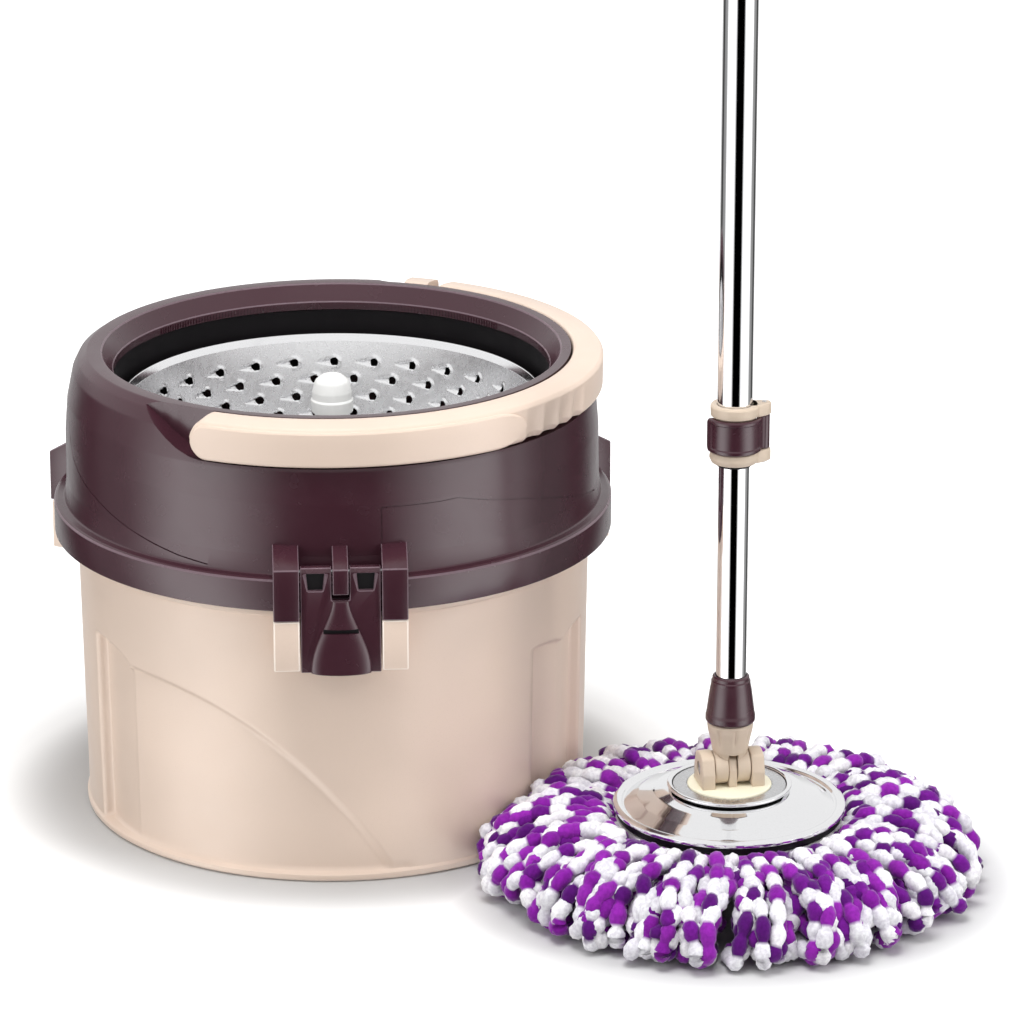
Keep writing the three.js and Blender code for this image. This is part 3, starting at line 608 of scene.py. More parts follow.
def latch_lever(side, angle):
    """One latch: a windowed plate with a grip below, and a hook behind it."""
    half, back, face, low, top = 24.0, 176.3, 182.0, LEVER_LOW + 2.2, LEVER_PIVOT + 3.2
    body = f"{side}_latch"
    plate = prism(f"latch_{side}", [
        (back, low), (face, low), (face, top - 2.6), (180.4, top), (175.8, top), (174.6, top - 2),
        (174.6, top - 5), (back, top - 7)], -half, half, SIDE)
    notch = slab("notch", (-5.4, 5.4), (-200, -150), (191.4, 230))
    windows = [window("window", s, top, 0.0, face - 2.3, face + 9) for s in (1, -1)]
    # The plate's bevels get a painted highlight in a lighter brown.
    bevelled(carved(plate, notch, *windows), 0.6, 2, trim=BROWN_PAINTED_HIGHLIGHT)
    keep(moved(plate, angle), "brown_plastic", body, f"latch_lever_{side}")
    keep(moved(thumb_grip(side), angle), "brown_plastic", body)
    # Black sheets at the bottom of the windows: painted shade, standing in for the dark depth behind the
    # plate.
    for name, s in (("a", 1), ("b", -1)):
        floor = window(f"window_shade_{side}_{name}", s, top, 0.3, face - 2.5, face - 2.1)
        keep(moved(floor, angle), "black_plastic", body)
    outline = [(177.3, low + 1), (177.3, 152.9), (166, 152.9), (166.6, low + 3)]
    hook = bevelled(prism(f"hook_{side}", outline, -15, 15, SIDE), 0.5)
    keep(moved(hook, angle), "brown_plastic", body)


def thumb_grip(side):
    """The bell-shaped grip on the lever: half a cone, with a slot across it."""
    low, top = LEVER_LOW + 2.4, 191.2
    rows = []
    swing = np.linspace(0, math.pi, 33)
    for z in np.linspace(low, top, 46):
        t = (top - z) / (top - low)
        half = 4.7 + 13.5 * math.sin(math.pi / 2 * t) ** 1.5
        proud = 1.4 + 3.2 * t ** 0.7
        face = -181.5 - proud * np.sin(swing) ** 0.8
        rows.append(np.stack([half * np.cos(swing), face, z - np.sin(swing) * t], -1))
    body = solid(f"thumb_{side}", *skin(np.array(rows)), sharp=40)
    slot = slab("slot", (-10.6, 10.6), (-200, -182.6), (170.6, 173.4))
    carved(bevelled(body, 0.5, 2, 60), slot)
    # A black sheet at the bottom of the slot: painted shade, standing in for its dark depth.
    floor = slab(f"slot_shade_{side}", (-10.5, 10.5), (-182.75, -182.3), (170.7, 173.3))
    keep(moved(floor, LATCH_TURN[side]), "black_plastic", f"{side}_latch")
    return body


# ---- bail ----
SCALLOPS = {"from": 312.5, "to": 334.1, "pitch": 5.4, "deep": 3.0}


def bail_section(a, tall, bite=0.0):
    """The bail's outline at an angle, tall times its height, with bite taken from its lower outer edge."""
    corners = [
        (150.4, -12.0, 1.4), (152, -13.2, 1.0), (166 - bite, -13.2, 1.6),
        (169.2 - bite, -10.4 + 0.7 * bite, 2.2), (169.6, 8.2, 2.0), (167.8, 10.8, 2.0), (157, 12.4, 3.0),
        (151.4, 12.4, 2.0), (150.4, 10.6, 1.5)]
    return section(a, fillet([(r, z * tall, soft * tall) for r, z, soft in corners], steps=3), BAIL_AXIS)


def bail():
    """The half-round handle with scallops for the fingers, and the cream block beyond its end."""
    start, start_tip, end, end_tip = 241.6, 3.0, 420.0, 3.4
    ease = 1 - np.cos(np.linspace(0, math.pi / 2, 14))
    tips = start - start_tip * (1 - ease), (end + end_tip * (1 - ease))[::-1]
    rows = []
    for a in np.concatenate([tips[0], np.arange(start + 0.5, end, 0.45), tips[1]]):
        past = max((start - a) / start_tip, (a - end) / end_tip, 0)
        wave = 0.0
        if SCALLOPS["from"] < a < SCALLOPS["to"]:
            wave = abs(math.sin(math.pi * (a - SCALLOPS["from"]) / SCALLOPS["pitch"]))
        rows.append(bail_section(a, math.sqrt(max(1 - past ** 2, 0.004)), SCALLOPS["deep"] * wave ** 0.6))
    keep(solid("bail_bow", *skin(np.array(rows)), sharp=50), "cream_plastic", "bail", "bail_handle")
    stub = np.array([bail_section(a, 1.0) for a in np.arange(424.3, 430.6, 0.6)])
    keep(solid("bail_stub", *skin(stub), sharp=50), "cream_plastic", "bucket")


def grip_pad():
    """The pad let into the bail's outer face: round at its left end, a longer curve at the other."""
    start, end, low, high = 239.0, 312.0, -12.4, 9.2
    start_tip, end_tip = 3.4, 8
    middle, half = (low + high) / 2, (high - low) / 2
    angles = np.concatenate([
        start + start_tip * (1 - np.cos(np.linspace(0, math.pi / 2, 14))),
        np.arange(start + 4, end - end_tip, 0.5),
        end - end_tip * (1 - np.sin(np.linspace(0, math.pi / 2, 20)))])
    rows = []
    for a in angles:
        left, right = max(start + start_tip - a, 0) / start_tip, max(a - end + end_tip, 0) / end_tip
        soft = math.sqrt(max(1 - left ** 2, 0.003)) * math.sqrt(max(1 - right ** 2, 0.003))
        low, high = middle - half * soft, middle + half * soft
        rows.append(section(a, fillet([
            (167.5, low), (170.2, low, 0.5 * soft), (171.1, low + 1.3 * soft, 0.9 * soft),
            (171.2, middle, 4 * soft), (171.0, high - 1.3 * soft, 0.9 * soft), (170.1, high, 0.5 * soft),
            (166.5, high)], steps=3), BAIL_AXIS))
    return keep(solid("grip_pad", *skin(np.array(rows)), sharp=50), "cream_plastic", "bail", "grip_insert")


# ---- basket ----
# The wall runs from a low to a high (radius, height), in cells with one hole each, pitch degrees wide.
WALL = {
    "low": (105.0, 174.0), "high": (128.0, 260.2), "pitch": 12.0, "columns": 28, "rows": 14, "bands": 7,
    "band": 11.0, "top_margin": 7.9, "hole_at": 0.34}
HOLE = 2.75  # radius
DIMPLE = {"long": 12.0, "half": 2.7, "deep": 2.1, "before": 1.0}
HOLE_LIP = {"proud": 0.55, "beyond": 0.4, "wide": 0.8}


def wall_grid():
    """The wall's grid of points, and each point's place u along and v up from the hole of its cell."""
    pitch, band, bands, per_band = (WALL[key] for key in ("pitch", "band", "bands", "rows"))
    columns = int(360 / pitch) * WALL["columns"]
    out, up = np.subtract(WALL["high"], WALL["low"])
    slant = np.hypot(out, up)
    first = slant - WALL["top_margin"] - bands * band
    heights = np.concatenate([
        (0.0, first / 2, first), first + band * np.arange(1, bands * per_band + 1) / per_band,
        (slant - WALL["top_margin"] / 2, slant)])
    a, s = np.meshgrid(np.arange(columns) * 360.0 / columns, heights, indexing="ij")
    radius, height = WALL["low"][0] + out * (s / slant), WALL["low"][1] + up * (s / slant)
    row = np.floor((s - first) / band + 1e-6)
    inside = (row >= 0) & (row < bands)
    shift = np.where(row % 2 == 0, 0.0, pitch / 2)
    u = ((a - shift) % pitch - pitch * WALL["hole_at"]) * math.pi / 180 * radius
    v = s - first - (row + 0.5) * band
    reach = np.hypot(u, v)
    cell_middle = np.hypot(u + math.pi * radius / columns, v + band / per_band / 2)
    open_cell = inside & (cell_middle < HOLE)
    beside = sum(np.roll(open_cell, by, (0, 1)) for by in ((0, 0), (1, 0), (0, 1), (1, 1)))
    near = (beside > 0) & (beside < 4)  # the corners round each hole go onto its circle
    stretch = np.where(near, HOLE / np.maximum(reach, 0.1), 1.0)
    a = a + np.where(near, u * (stretch - 1), 0) / (math.pi / 180 * radius)
    rise = np.where(near, v * (stretch - 1), 0)
    radius, height = radius + rise * out / slant, height + rise * up / slant
    along = np.clip((u + DIMPLE["before"]) / DIMPLE["long"], 0, 1)
    half = np.maximum(DIMPLE["half"] * (1 - along) ** 0.8, 0.05)
    in_reach = (u > -DIMPLE["before"]) & (u < DIMPLE["long"] - DIMPLE["before"])
    bowl = DIMPLE["deep"] * (np.clip(1 - (v / half) ** 2, 0, 1) * in_reach) ** 0.7 * (1 - along) ** 0.4
    lip = np.exp(-((reach - HOLE - HOLE_LIP["beyond"]) / HOLE_LIP["wide"]) ** 2) * (u < 0.5)
    radius = radius + np.where(inside, bowl - HOLE_LIP["proud"] * lip, 0)
    return a, radius, height, np.where(inside, u, 99), v


def basket_wall():
    """The wall as a sheet, without the cells that lie in its holes."""
    a, radius, height, u, v = wall_grid()
    points, faces = skin(polar(a, radius, height), wrap_rows=True, wrap_points=False, caps=False)
    corners = np.array(faces)
    u, v = u.reshape(-1)[corners], v.reshape(-1)[corners]
    holed = (np.hypot(u.mean(1), v.mean(1)) < HOLE) & (np.hypot(u, v).max(1) < HOLE + 1.4)
    used, places = np.unique(corners[~holed], return_inverse=True)
    wall = solid("basket_wall", points.reshape(-1, 3)[used], places.reshape(-1, 4).tolist())
    sheet = wall.modifiers.new("sheet", "SOLIDIFY")
    sheet.thickness, sheet.offset = 0.8 * MM, 0
    return keep(applied(wall, 45), "bright_steel", "basket", "spin_basket", finish=BASKET_STEEL)


def basket_parts():
    """The basket's rolled rim and its floor with four rings of drain holes."""
    rim = fillet([
        (126.8, 253.4), (128.2, 253.4, 0.3), (129.2, 256.4, 1), (131.9, 258.4, 1.8), (131.9, 264.4, 1.6),
        (130.2, 264.8, 0.9), (127.4, 258.8, 1.0)], steps=5)
    keep(lathe("basket_rim", rim, 240, sharp=60), "bright_steel", "basket", finish=RIM_STEEL)
    floor = lathe("basket_floor", fillet([
        (12, 170.5), (40, 170.5, 4), (46, 168.9, 3), (84, 168.9, 3), (90, 170.5, 4), (101, 170.5, 3),
        (105.6, 174.4, 1), (104.6, 175.2, 0.3), (100.6, 171.6, 2), (90, 171.5, 4), (84, 169.9, 3),
        (46, 169.9, 3), (40, 171.5, 4), (12, 171.5)], steps=3), 180)
    drains = []
    rings = (56, 18, 2.6), (65, 24, 2.6), (74, 30, 2.6), (95, 36, 2.2)
    for ring, (radius, count, size) in enumerate(rings):
        for i in range(count):
            angle = (i + 0.5 * (ring % 2)) * 2 * math.pi / count
            middle = radius * math.cos(angle), radius * math.sin(angle)
            hole = polar(np.arange(12) * 30.0, size, 0.0, middle)
            drains.append(skin(np.array([hole + (0, 0, 160), hole + (0, 0, 180)])))
    carved(floor, solid("drains", *gathered(drains)))
    keep(floor, "bright_steel", "basket", finish=BASKET_STEEL)


def hub_post():
    seat = 172.1
    profile = fillet([
        (0, 252), (7.4, 252), (7.4, seat), (34, seat, 0.8), (34, seat + 3.6, 1.4), (28, seat + 8, 3),
        (14.5, seat + 12, 5), (11, seat + 24, 6), (11, 251.6, 1.2), (13, 253, 0.8), (13.4, 260.5, 1),
        (12.5, 261.6, 0.5), (12.4, 266, 3), (10.6, 273, 5), (6, 276.6, 4), (0, 277.2)], steps=5)
    return keep(lathe("hub_post_fine", profile, 96, sharp=40), "white_plastic", "basket", "hub_post")


# ---- mop head ----
def on_mop(name, profile, steps, sharp=32.0):
    """A turned piece about the mop's own upright line."""
    return lathe(name, profile, steps, MOP_CENTRE[:2], sharp=sharp)


def mop_plate():
    profile = fillet([
        (0, 42.3), (13.6, 42.3), (13.6, 31, 0.5), (16, 31, 0.5), (16, 42.3), (52, 42.3), (52, 24.6, 0.8),
        (55, 24.6, 0.8), (55, 42.3), (68.4, 42.3, 1), (69.4, 44.6, 0.8), (69.4, 47.4, 0.6), (66, 47.8, 0.4),
        (0, 47.8)], steps=3)
    keep(on_mop("mop_plate", profile, 144), "black_plastic", "mop_head", "mop_disc")


def cover():
    """The mirror cover, and on it a bright bead, a dark line, a spun ring and a pale plate."""
    profile = fillet([
        (65.2, 48.2, 0.6), (69.8, 47.0, 1.2), (71.2, 48.4, 1.4), (71.0, 50.6, 1.6), (68.4, 52.0, 1.8),
        (65.8, 51.0, 1.2), (64.6, 49.2, 0.9), (62.4, 50.4, 3), (56, 54.2, 8), (46, 57.8, 12), (34, 60.3, 12),
        (22, 61), (22, 60.2), (34, 59.4, 12), (46, 56.9, 12), (56, 53.2, 8), (62, 49.4, 2)], steps=5)
    keep(on_mop("disc_cover_fine", profile, 192, 50), "bright_steel", "mop_head", "disc_cover")
    bead = fillet([
        (35.0, 61), (37.4, 61), (38.0, 61.6, 0.4), (38.0, 62.9, 0.8), (36.2, 63.3, 0.8), (35.0, 62.6, 0.5)])
    keep(on_mop("trim_bead", bead, 160), "bright_steel", "mop_head")
    line = [(34.2, 60.6), (35.2, 60.6), (35.2, 61.5), (34.2, 61.5)]
    keep(on_mop("trim_line", line, 160), "black_plastic", "mop_head")
    ring = on_mop("trim_ring_fine", fillet([(26.2, 61), (34.4, 61), (34.4, 62.0, 0.2), (26.2, 62.0)]), 160)
    keep(ring, "satin_steel", "mop_head", "trim_ring", finish=SPUN_STEEL)
    plate = on_mop("hub_plate_fine", fillet([
        (0, 48.8), (21.6, 48.8), (21.6, 61), (25.2, 61, 0.3), (25.8, 61.8, 0.4), (25.4, 63.0, 0.8),
        (0, 63.0)]), 128)
    keep(plate, "white_plastic", "mop_head", "hub_plate", finish=PALE_PLATE)


def rod(name, radius, start, end, axis="x", at=(0, 0, PIVOT_AT), steps=40):
    """A round bar about a line along x, y or z; as it stands, about the mop head's tilt axis."""
    bar = lathe(name, fillet([(0, start), (radius, start), (radius, end), (0, end)]), steps)
    turn = {"x": Matrix.Rotation(math.pi / 2, 4, "Y"), "y": Matrix.Rotation(-math.pi / 2, 4, "X"),
            "z": Matrix.Identity(4)}[axis]
    bar.data.transform(Matrix.Translation(Vector(at) * MM) @ turn)
    return bar


def bracket():
    """Two ears on the hub plate, the rib between them, the tie behind them, and the pin."""
    foot = 62.8
    ear = fillet([
        (-11.4, foot), (-11.4, 72, 5), (-8.2, 82.2, 4), (0, 84.8, 8), (8.2, 82.2, 4), (11.4, 72, 5),
        (11.4, foot)], steps=5)
    for name, x0, x1, stands_for in (("ear_a", -19.5, -11.5, ["pivot_bracket"]), ("ear_b", 11.5, 19.5, [])):
        bored = carved(bevelled(prism(name, ear, x0, x1, SIDE), 0.9), rod("bore", 4.4, -30, 30))
        keep(to_mop(bored), "beige_plastic", "mop_head", *stands_for)
    rib = fillet([
        (-9.4, foot), (-9.7, PIVOT_AT, 1), (-6.8, PIVOT_AT + 6.9, 3), (0, PIVOT_AT + 9.6, 5),
        (6.8, PIVOT_AT + 6.9, 3), (9.7, PIVOT_AT, 1), (9.4, foot)], steps=5)
    keep(to_mop(bevelled(prism("centre_rib", rib, -2.6, 2.6, SIDE), 0.7)), "beige_plastic", "mop_head")
    tie = bevelled(slab("tie_back", (-19.5, 19.5), (9.4, 12), (foot, foot + 1.9)), 0.6)
    keep(to_mop(tie), "beige_plastic", "mop_head")
    pin = bevelled(rod("pivot_pin_fine", 3.9, -18.9, 18.9), 0.6)
    keep(to_mop(pin), "satin_steel", "mop_head", "pivot_pin")


# ---- yarn ----
YARN = {"bobble": (9.5, 15.0), "neck": 2.7, "swell": 2.6, "step": 1.9, "sides": 9, "tub": 164.6}
PURPLES = np.array([(0.235, 0.014, 0.335), (0.29, 0.022, 0.40), (0.165, 0.010, 0.26), (0.10, 0.007, 0.17)])
WHITES = np.array([(0.90, 0.90, 0.92), (0.84, 0.83, 0.87), (0.93, 0.92, 0.93)])
LAYERS = (
    # strands, crown height, outermost radius, foot height, start radius
    (64, 46.4, 142.0, 8.0, 66.0),
    (64, 41.0, 145.0, 5.4, 64.0),
    (54, 33.5, 135.0, 4.8, 62.0),
    (58, 36.0, 146.0, 5.2, 100.0),
    (40, 22.0, 140.0, 5.0, 104.0),
)


def spline(points, step):
    """Points every step along a smooth curve through the given ones, and how far along each one is."""
    padded = np.vstack([2 * points[0] - points[1], points, 2 * points[-1] - points[-2]])
    t = np.linspace(0, 1, 16, endpoint=False)[:, None]
    pieces = []
    for i in range(1, len(padded) - 2):
        p0, p1, p2, p3 = padded[i - 1:i + 3]
        pieces.append(0.5 * (2 * p1 + (p2 - p0) * t + (2 * p0 - 5 * p1 + 4 * p2 - p3) * t ** 2
                             + (3 * p1 - p0 - 3 * p2 + p3) * t ** 3))
    fine = np.vstack([*pieces, points[-1:]])
    length = np.concatenate([[0], np.cumsum(np.linalg.norm(np.diff(fine, axis=0), axis=1))])
    stops = np.arange(0, length[-1], step)
    return np.stack([np.interp(stops, length, fine[:, k]) for k in range(3)], -1), stops


def strand_route(angle, crown, outer, foot, start):
    """One strand: from under the disc, up and over, out and down, and a little way back along the floor."""
    outer = outer + random.uniform(-10, 5)
    crown = crown + random.uniform(-2.6, 0.4)
    lean = random.normal(0, 4.0)
    bow = random.normal(0, 2.6)
    if start < 90:
        shape = [(start, 34, 0), (start + 9, 36.5, 0), (start + 13.5, min(crown, 43), 0), (88, crown, 0.1),
                 (103, crown, 0.3), (118, crown - 2.4, 0.55), (outer - 8, crown - 10, 0.8)]
    else:
        shape = [(start, crown - 7, 0), (start + 12, crown - 1, 0.3), (outer - 12, crown - 3, 0.6)]
    shape += [
        (outer, foot + 13 + random.uniform(-3, 3), 1.0), (outer + random.uniform(-3, 2), foot + 3, 1.15),
        (outer - 12 - random.uniform(0, 8), foot, 1.3), (outer - 26, foot + 0.6, 1.3 + random.normal(0, 0.6))]
    route = np.array([polar(angle + lean * t + bow * math.sin(3 * t), r, z) for r, z, t in shape])
    route[1:] += random.normal(0, 0.9, (len(route) - 1, 3)) * (1, 1, 0.7)
    return route + (MOP_CENTRE[0], MOP_CENTRE[1], 0)


def clear_of_tub(points):
    """Keeps strands outside the tub's wall and off the floor."""
    distance = np.hypot(points[:, 0], points[:, 1])
    points[:, :2] *= np.maximum(YARN["tub"] / np.maximum(distance, 1), 1)[:, None]
    points[:, 2] = np.maximum(points[:, 2], YARN["neck"] + 1.2)
    return points


def bobbles(total):
    """The ends of the bobbles along a strand and each one's tint: short runs of purple and of white."""
    ends, tints = [], []
    at, purple, left = -random.uniform(0, 10), random.random() < 0.5, 0
    while at < total:
        if left == 0:
            purple, left = not purple, 1 + int(random.random() < 0.38)
        at += random.uniform(*YARN["bobble"])
        palette = PURPLES if purple else WHITES
        ends.append(at)
        tints.append(palette[random.integers(len(palette))] * random.uniform(0.88, 1.06))
        left -= 1
    return np.array(ends), np.array(tints)


def strand(route, thickness):
    """Rings of points round a route, swelling at each bobble, with a rough skin."""
    points, stops = spline(route, YARN["step"])
    points = clear_of_tub(points)
    ends, tints = bobbles(stops[-1] + YARN["step"])
    index = np.searchsorted(ends, stops, side="right")
    starts = np.concatenate([[ends[0] - 12], ends])[index]
    phase = np.clip((stops - starts) / (ends[index] - starts), 0, 1)
    radius = (YARN["neck"] + YARN["swell"] * np.sin(math.pi * phase) ** 0.7) * thickness
    radius[0] *= 0.5
    radius[-1] *= 0.45
    along = np.gradient(points, axis=0)
    along /= np.linalg.norm(along, axis=1, keepdims=True)
    side = np.cross(along, (0, 0, 1))
    side /= np.maximum(np.linalg.norm(side, axis=1, keepdims=True), 1e-6)
    up = np.cross(side, along)
    swing = np.arange(YARN["sides"]) * 2 * math.pi / YARN["sides"]
    lump = radius[:, None] * (1 + random.normal(0, 0.055, (len(points), YARN["sides"])))
    rings = (points[:, None] + (np.cos(swing) * lump)[..., None] * side[:, None]
             + (np.sin(swing) * lump)[..., None] * up[:, None])
    rings[..., 2] = np.maximum(rings[..., 2], 0.25)
    return rings, np.repeat(tints[index], YARN["sides"], axis=0)


def yarn():
    """All strands as one piece, with each bobble's tint on its points."""
    skins, tints = [], []
    for layer, (count, *shape) in enumerate(LAYERS):
        for i in range(count):
            angle = (i + 0.5 * (layer % 2)) * 360 / count + random.uniform(-1.2, 1.2)
            rings, colour = strand(strand_route(angle, *shape), random.uniform(0.92, 1.08))
            skins.append(skin(rings))
            tints.append(colour)
    points, faces = gathered(skins)
    mesh = bpy.data.meshes.new("yarn_strands")
    mesh.from_pydata((points * MM).tolist(), [], faces)
    tint = mesh.color_attributes.new("tint", "FLOAT_COLOR", "POINT")
    tint.data.foreach_set("color", np.column_stack([np.vstack(tints), np.ones(len(points))]).ravel())
    return keep(smoothed(placed("yarn_strands", mesh), 180), "yarn", "mop_head", "yarn_ring")


# ---- pole ----
HINGE = 18.0  # from the pole's middle to the clamp lever's pin


def on_pole(name, profile, warp=None):
    """A turned piece of the pole, which stands over the mop's centre."""
    return to_mop(lathe(name, profile, 96, warp=warp))


def yoke():
    """The barrel on the tilt pin, slotted for the rib, and the ribbed collar above it."""
    def ribbed(a, r, z):
        rib = np.maximum(np.cos(np.radians(a * 8)), 0) ** 6
        return r - 0.9 * rib * (r > 8.8) * smoothstep(z, 86, 94) * (1 - smoothstep(z, 100, 101.4)), z

    barrel = bevelled(rod("yoke_barrel", 10.3, -11, 11, steps=64), 0.8)
    outline = fillet([
        (0, PIVOT_AT), (8.8, PIVOT_AT), (8.8, 80, 2), (10.8, 84.5, 2), (12.2, 92, 2), (13.6, 98, 1),
        (14, 101.6, 0.6), (13.4, 102.6, 0.4), (8, 102.6), (8, 126), (0, 126)], steps=3)
    stem = lathe("yoke_collar", denser(outline, 1.4), 96, warp=ribbed)
    body = carved(barrel, stem, operation="UNION")
    bore = rod("bore", 4.3, -20, 20)
    slot = rod("slot", 14.7, -3.1, 3.1, steps=64)
    keep(to_mop(carved(body, slot, bore)), "beige_plastic", "pole_lower", "yoke")


def lower_pole():
    ferrule = fillet([
        (9.6, 103), (14.2, 103, 0.7), (15.1, 104.4, 0.8), (15.1, 107.4, 1.2), (14.6, 109.4, 3),
        (13.2, 120, 6), (11.9, 128, 3), (11.9, 129.4, 0.4), (11.2, 130, 0.3), (11.2, 132, 0.7),
        (10.4, 132.7, 0.4), (9.6, 132.7)])
    keep(on_pole("ferrule_fine", ferrule), "brown_plastic", "pole_lower", "ferrule")
    tube = [(8.4, 102), (9.2, 102), (9.2, 640), (8.4, 640)]
    keep(on_pole("lower_tube_fine", tube), "bright_steel", "pole_lower", "lower_tube")


def clamp():
    """The clamp's body with a lug at each end for the lever's pin, and the upper tube that it holds."""
    low, high = 268.5, 304.5
    body = on_pole("clamp_body_fine", fillet([
        (10.9, low), (13.6, low, 0.8), (15, low + 3, 1.5), (14.3, low + 6.6, 0.6), (12.6, low + 7.6, 0.6),
        (12.6, high - 7.8, 0.6), (14.3, high - 6.8, 0.6), (14.6, high - 1.2, 0.9), (13.8, high, 0.5),
        (10.9, high)]))
    keep(body, "beige_plastic", "pole_upper", "clamp_body")
    outline = fillet([
        (8, -7), (13.2, -7.4, 3), (HINGE + 1, -4.4, 3), (HINGE + 4.2, -1.4, 2.5), (HINGE + 4.2, 2.6, 2.5),
        (HINGE, 4.4, 3), (12, 5), (8, 5)])
    for name, z0, z1 in (("lug_low", low, low + 7.4), ("lug_high", high - 7.4, high)):
        lug = bevelled(prism(name, outline, z0, z1, PLAN), 0.8)
        bore = rod("bore", 11.0, z0 - 5, z1 + 5, "z", (0, 0, 0), 64)
        keep(to_mop(carved(lug, bore)), "beige_plastic", "pole_upper")
    sleeve = [(9.8, 272), (10.5, 272), (10.5, 860), (9.8, 860)]
    keep(on_pole("upper_tube_fine", sleeve), "bright_steel", "pole_upper", "upper_tube")


def clamp_lever():
    """The curved lever: a bow round the clamp, a framed outer face, a thumb end and its knuckle."""
    low, high = 276.1, 296.9
    rows = []
    for a in np.concatenate([np.linspace(-184, -174, 8), np.arange(-172, -19, 3.0), np.linspace(-18, -8, 5)]):
        past = -172 - a
        inner = 13.3 + smoothstep(past, 0, 12) + smoothstep(a + 18, 0, 10) * 2.6
        outer = inner + 3.0 - 0.6 * smoothstep(past, 4, 12)
        floor = outer - 0.6 * smoothstep(a + 168.0, 0, 6) * (1 - smoothstep(a + 36.0, 0, 10))
        z0 = low + 1.8 * smoothstep(past, 3, 12)
        z1 = high - 1.8 * smoothstep(past, 3, 12)
        rows.append(section(a, fillet([
            (inner, z0, 0.5), (outer, z0, 1.0), (outer, z0 + 2.4, 0.3), (floor, z0 + 3.0, 0.3),
            (floor, z1 - 3.0, 0.3), (outer, z1 - 2.4, 0.3), (outer, z1, 1.0), (inner, z1, 0.5)], steps=3)))
    bow = solid("clamp_lever_fine", *skin(np.array(rows)), sharp=35)
    knuckle = bevelled(rod("clamp_knuckle", 3.5, low, high, "z", (HINGE, 0, 0), 32), 0.6)
    keep(to_mop(bow), "brown_plastic", "clamp", "clamp_lever")
    keep(to_mop(knuckle), "brown_plastic", "clamp")


def hand_grip():
    """The grip, finely fluted, and the cap above it with its hanging hole."""
    def fluted(a, r, z):
        flute = np.maximum(np.cos(np.radians(a * 12)), 0) ** 2
        return r - 0.35 * flute * (r > 12) * smoothstep(z, 770, 775), z

    profile = fillet([
        (10.9, 740), (13.2, 740, 0.8), (15, 744, 2), (14.6, 750, 3), (13, 770, 14), (14, 805, 20),
        (13.6, 845, 10), (14, 859, 0.8), (14, 859.6, 0.4), (10.9, 859.6)], steps=5)
    grip = on_pole("hand_grip_fine", denser(profile, 6), fluted)
    keep(grip, "brown_plastic", "pole_upper", "hand_grip")
    cap = fillet([
        (0, 843), (9.3, 843), (9.3, 860.4), (14, 860.4, 0.8), (14, 888, 8), (12.8, 910, 12), (9, 924, 8),
        (5, 929, 4), (0, 930)], steps=5)
    hole = rod("hole", 5, -20, 20, "y", (0, 0, 906))
    body = bevelled(carved(lathe("hanger_cap_fine", cap, 96), hole, sharp=30), 0.7, 2, 50)
    keep(to_mop(body), "brown_plastic", "pole_upper", "hanger_cap")


# ---- studio ----
FLOOR_REACH = 20000
FILL = 0.58  # brightness of the even light
CAMERA = {"place": (-0.0608, -3.0089, 1.1980), "pitch": 71.4, "yaw": -3.3, "lens": 177.0}


def floor():
    """Pale card. The camera sees it darker close to the bucket and the mop, a painted shadow, and glowing
    further off.
    """
    material = bpy.data.materials.new("floor_finish")
    material.use_nodes = True
    tree = material.node_tree
    shader = tree.nodes["Principled BSDF"]
    to_camera = node(tree, "ShaderNodeLightPath").outputs["Is Camera Ray"]
    place = node(tree, "ShaderNodeNewGeometry").outputs["Position"]
    near = []
    for centre, foot in (((0, 0, 0), 0.165), ((MOP_CENTRE[0] * MM, MOP_CENTRE[1] * MM, 0), 0.135)):
        away = node(tree, "ShaderNodeVectorMath", operation="DISTANCE")
        feed(tree, away.inputs[0], place)
        away.inputs[1].default_value = centre
        near.append(spread(tree, away.outputs["Value"], 0.0, 0.34, foot, foot + 0.16))
    painted_shadow_near = maths(tree, "MINIMUM", *near)
    far = spread(tree, away.outputs["Value"], 0.0, 0.45, 0.35, 2.2)  # from the mop
    glow = maths(tree, "MULTIPLY", to_camera, maths(tree, "ADD", painted_shadow_near, far))
    tone = mix(tree, spread(tree, noise(tree, 6.0), 0, 1), (0.84, 0.84, 0.84), (0.86, 0.86, 0.86))
    # Painted shadow: within a few centimetres of the bucket's and the mop's feet the camera sees the floor
    # grey, and its glow fades there too.
    seen = mix(tree, spread(tree, painted_shadow_near, 0.0, 1.0, -0.02, 0.09), (0.5, 0.5, 0.5), tone)
    base = mix(tree, to_camera, (0.62, 0.62, 0.62), seen)
    for key, value in (
            ("Base Color", base), ("Roughness", 0.9), ("Specular IOR Level", 0.1),
            ("Emission Color", (1, 1, 1)), ("Emission Strength", glow)):
        feed(tree, shader.inputs[key], value)
    corners = [(x, y, -0.1) for x, y in ((-1, -1), (1, -1), (1, 1), (-1, 1))]
    plane = solid("floor", np.array(corners) * (FLOOR_REACH, FLOOR_REACH, 1), [[0, 1, 2, 3]])
    plane.data.materials.append(material)
    plane.visible_glossy = False


STUDIO_RING = (
    # degrees from the camera's side, brightness seen by glossy surfaces
    (0, 0.0), (22, 0.0), (27, 0.9), (36, 1.9), (50, 4.0), (70, 4.0), (84, 1.8), (95, 0.45), (116, 0.35),
    (124, 0.04), (140, 0.1), (150, 0.8), (180, 0.9))


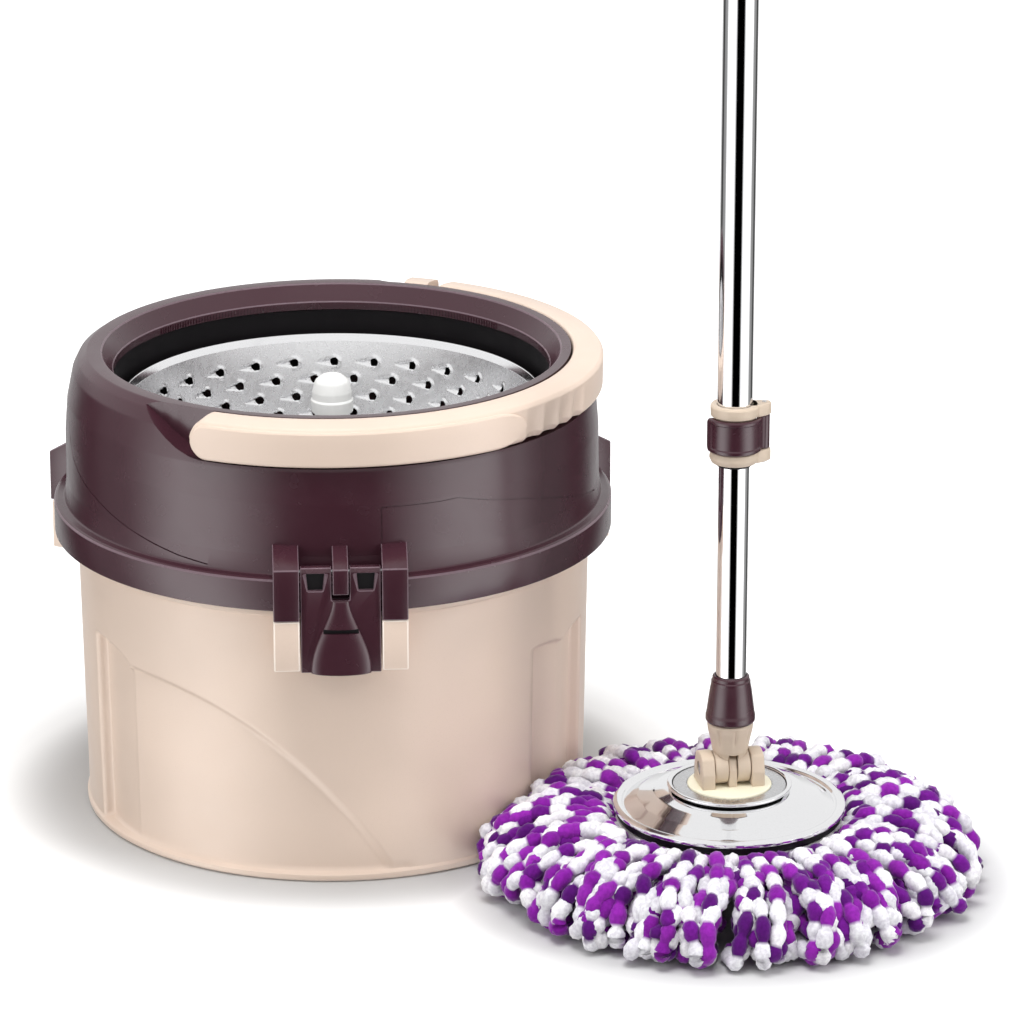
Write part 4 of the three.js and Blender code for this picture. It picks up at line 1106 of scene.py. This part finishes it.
def studio_world(camera_azimuth):
    """White behind everything, even fill light, and a ring of soft panels that only glossy surfaces show."""
    world = bpy.data.worlds.new("studio")
    bpy.context.scene.world = world
    world.use_nodes = True
    tree = world.node_tree
    tree.nodes.clear()
    turn = node(tree, "ShaderNodeMapping", Rotation=(0, 0, math.radians(-camera_azimuth)))
    feed(tree, turn.inputs["Vector"], node(tree, "ShaderNodeTexCoord").outputs["Generated"])
    parts = node(tree, "ShaderNodeSeparateXYZ")
    feed(tree, parts.inputs["Vector"], turn.outputs["Vector"])
    x, y, z = parts.outputs
    swing = maths(tree, "ABSOLUTE", maths(tree, "ARCTAN2", y, x))
    ramp = node(tree, "ShaderNodeFloatCurve")
    curve = ramp.mapping.curves[0]
    tallest = max(bright for _, bright in STUDIO_RING)
    spots = [(angle / 180, bright / tallest) for angle, bright in STUDIO_RING]
    curve.points[0].location = spots[0]
    for spot in spots[1:-1]:
        curve.points.new(*spot)
    curve.points[-1].location = spots[-1]
    for point in curve.points:
        point.handle_type = "VECTOR"
    ramp.mapping.update()
    feed(tree, ramp.inputs["Value"], maths(tree, "DIVIDE", swing, math.pi))
    ring = maths(tree, "MULTIPLY", ramp.outputs[0], tallest)
    panels = mix(tree, spread(tree, z, 0.0, 1.0, -0.08, 0.16), ring, 1.15, "FLOAT")
    rays = node(tree, "ShaderNodeLightPath")
    fill = mix(tree, rays.outputs["Is Glossy Ray"], FILL, panels, "FLOAT")
    back = node(tree, "ShaderNodeBackground")
    feed(tree, back.inputs["Strength"], mix(tree, rays.outputs["Is Camera Ray"], fill, 1.0, "FLOAT"))
    feed(tree, node(tree, "ShaderNodeOutputWorld").inputs["Surface"], back.outputs[0])


def soft_light(name, azimuth, distance, height, size, power):
    """A rectangular lamp aimed at the middle of the set, and not seen itself."""
    lamp = bpy.data.lights.new(name, "AREA")
    lamp.shape, lamp.size, lamp.size_y, lamp.energy = "RECTANGLE", size[0], size[1], power
    light = placed(name, lamp)
    a = math.radians(azimuth)
    light.location = (distance * math.cos(a), distance * math.sin(a), height)
    light.rotation_euler = (Vector((0.06, -0.04, 0.14)) - light.location).to_track_quat("-Z", "Y").to_euler()
    light.visible_camera = light.visible_glossy = False


def studio():
    floor()
    studio_world(math.degrees(math.atan2(CAMERA["place"][1], CAMERA["place"][0])))
    soft_light("left_panel", 210, 1.7, 0.75, (0.7, 1.3), 12)
    soft_light("right_panel", 331, 1.7, 0.75, (0.5, 1.3), 13)
    soft_light("top_panel", 265, 0.5, 2.3, (1.2, 1.2), 40)
    bpy.context.scene.view_settings.view_transform = "Standard"


def camera():
    lens = bpy.data.cameras.new("camera")
    lens.lens, lens.sensor_width, lens.clip_end = CAMERA["lens"], 36, 60
    eye = placed("camera", lens)
    eye.location = CAMERA["place"]
    eye.rotation_euler = (math.radians(CAMERA["pitch"]), 0, math.radians(CAMERA["yaw"]))
    bpy.context.scene.camera = eye


# ---- assembly ----
for part in frame["record"]["subparts"]:
    carried = frame["nodes"][part["node"]].data
    carried.materials.clear()
    carried.materials.append(FINISH[part["material_slot"]])

camera()
studio()
tub()
housing()
rim_ribs()
for latch, latch_angle in LATCH_TURN.items():
    tub_fittings(latch, latch_angle)
    housing_fittings(latch, latch_angle)
    latch_lever(latch, latch_angle)
bail()
grip_pad()
basket_wall()
basket_parts()
hub_post()
mop_plate()
cover()
bracket()
yarn()
yoke()
lower_pole()
clamp()
clamp_lever()
hand_grip()
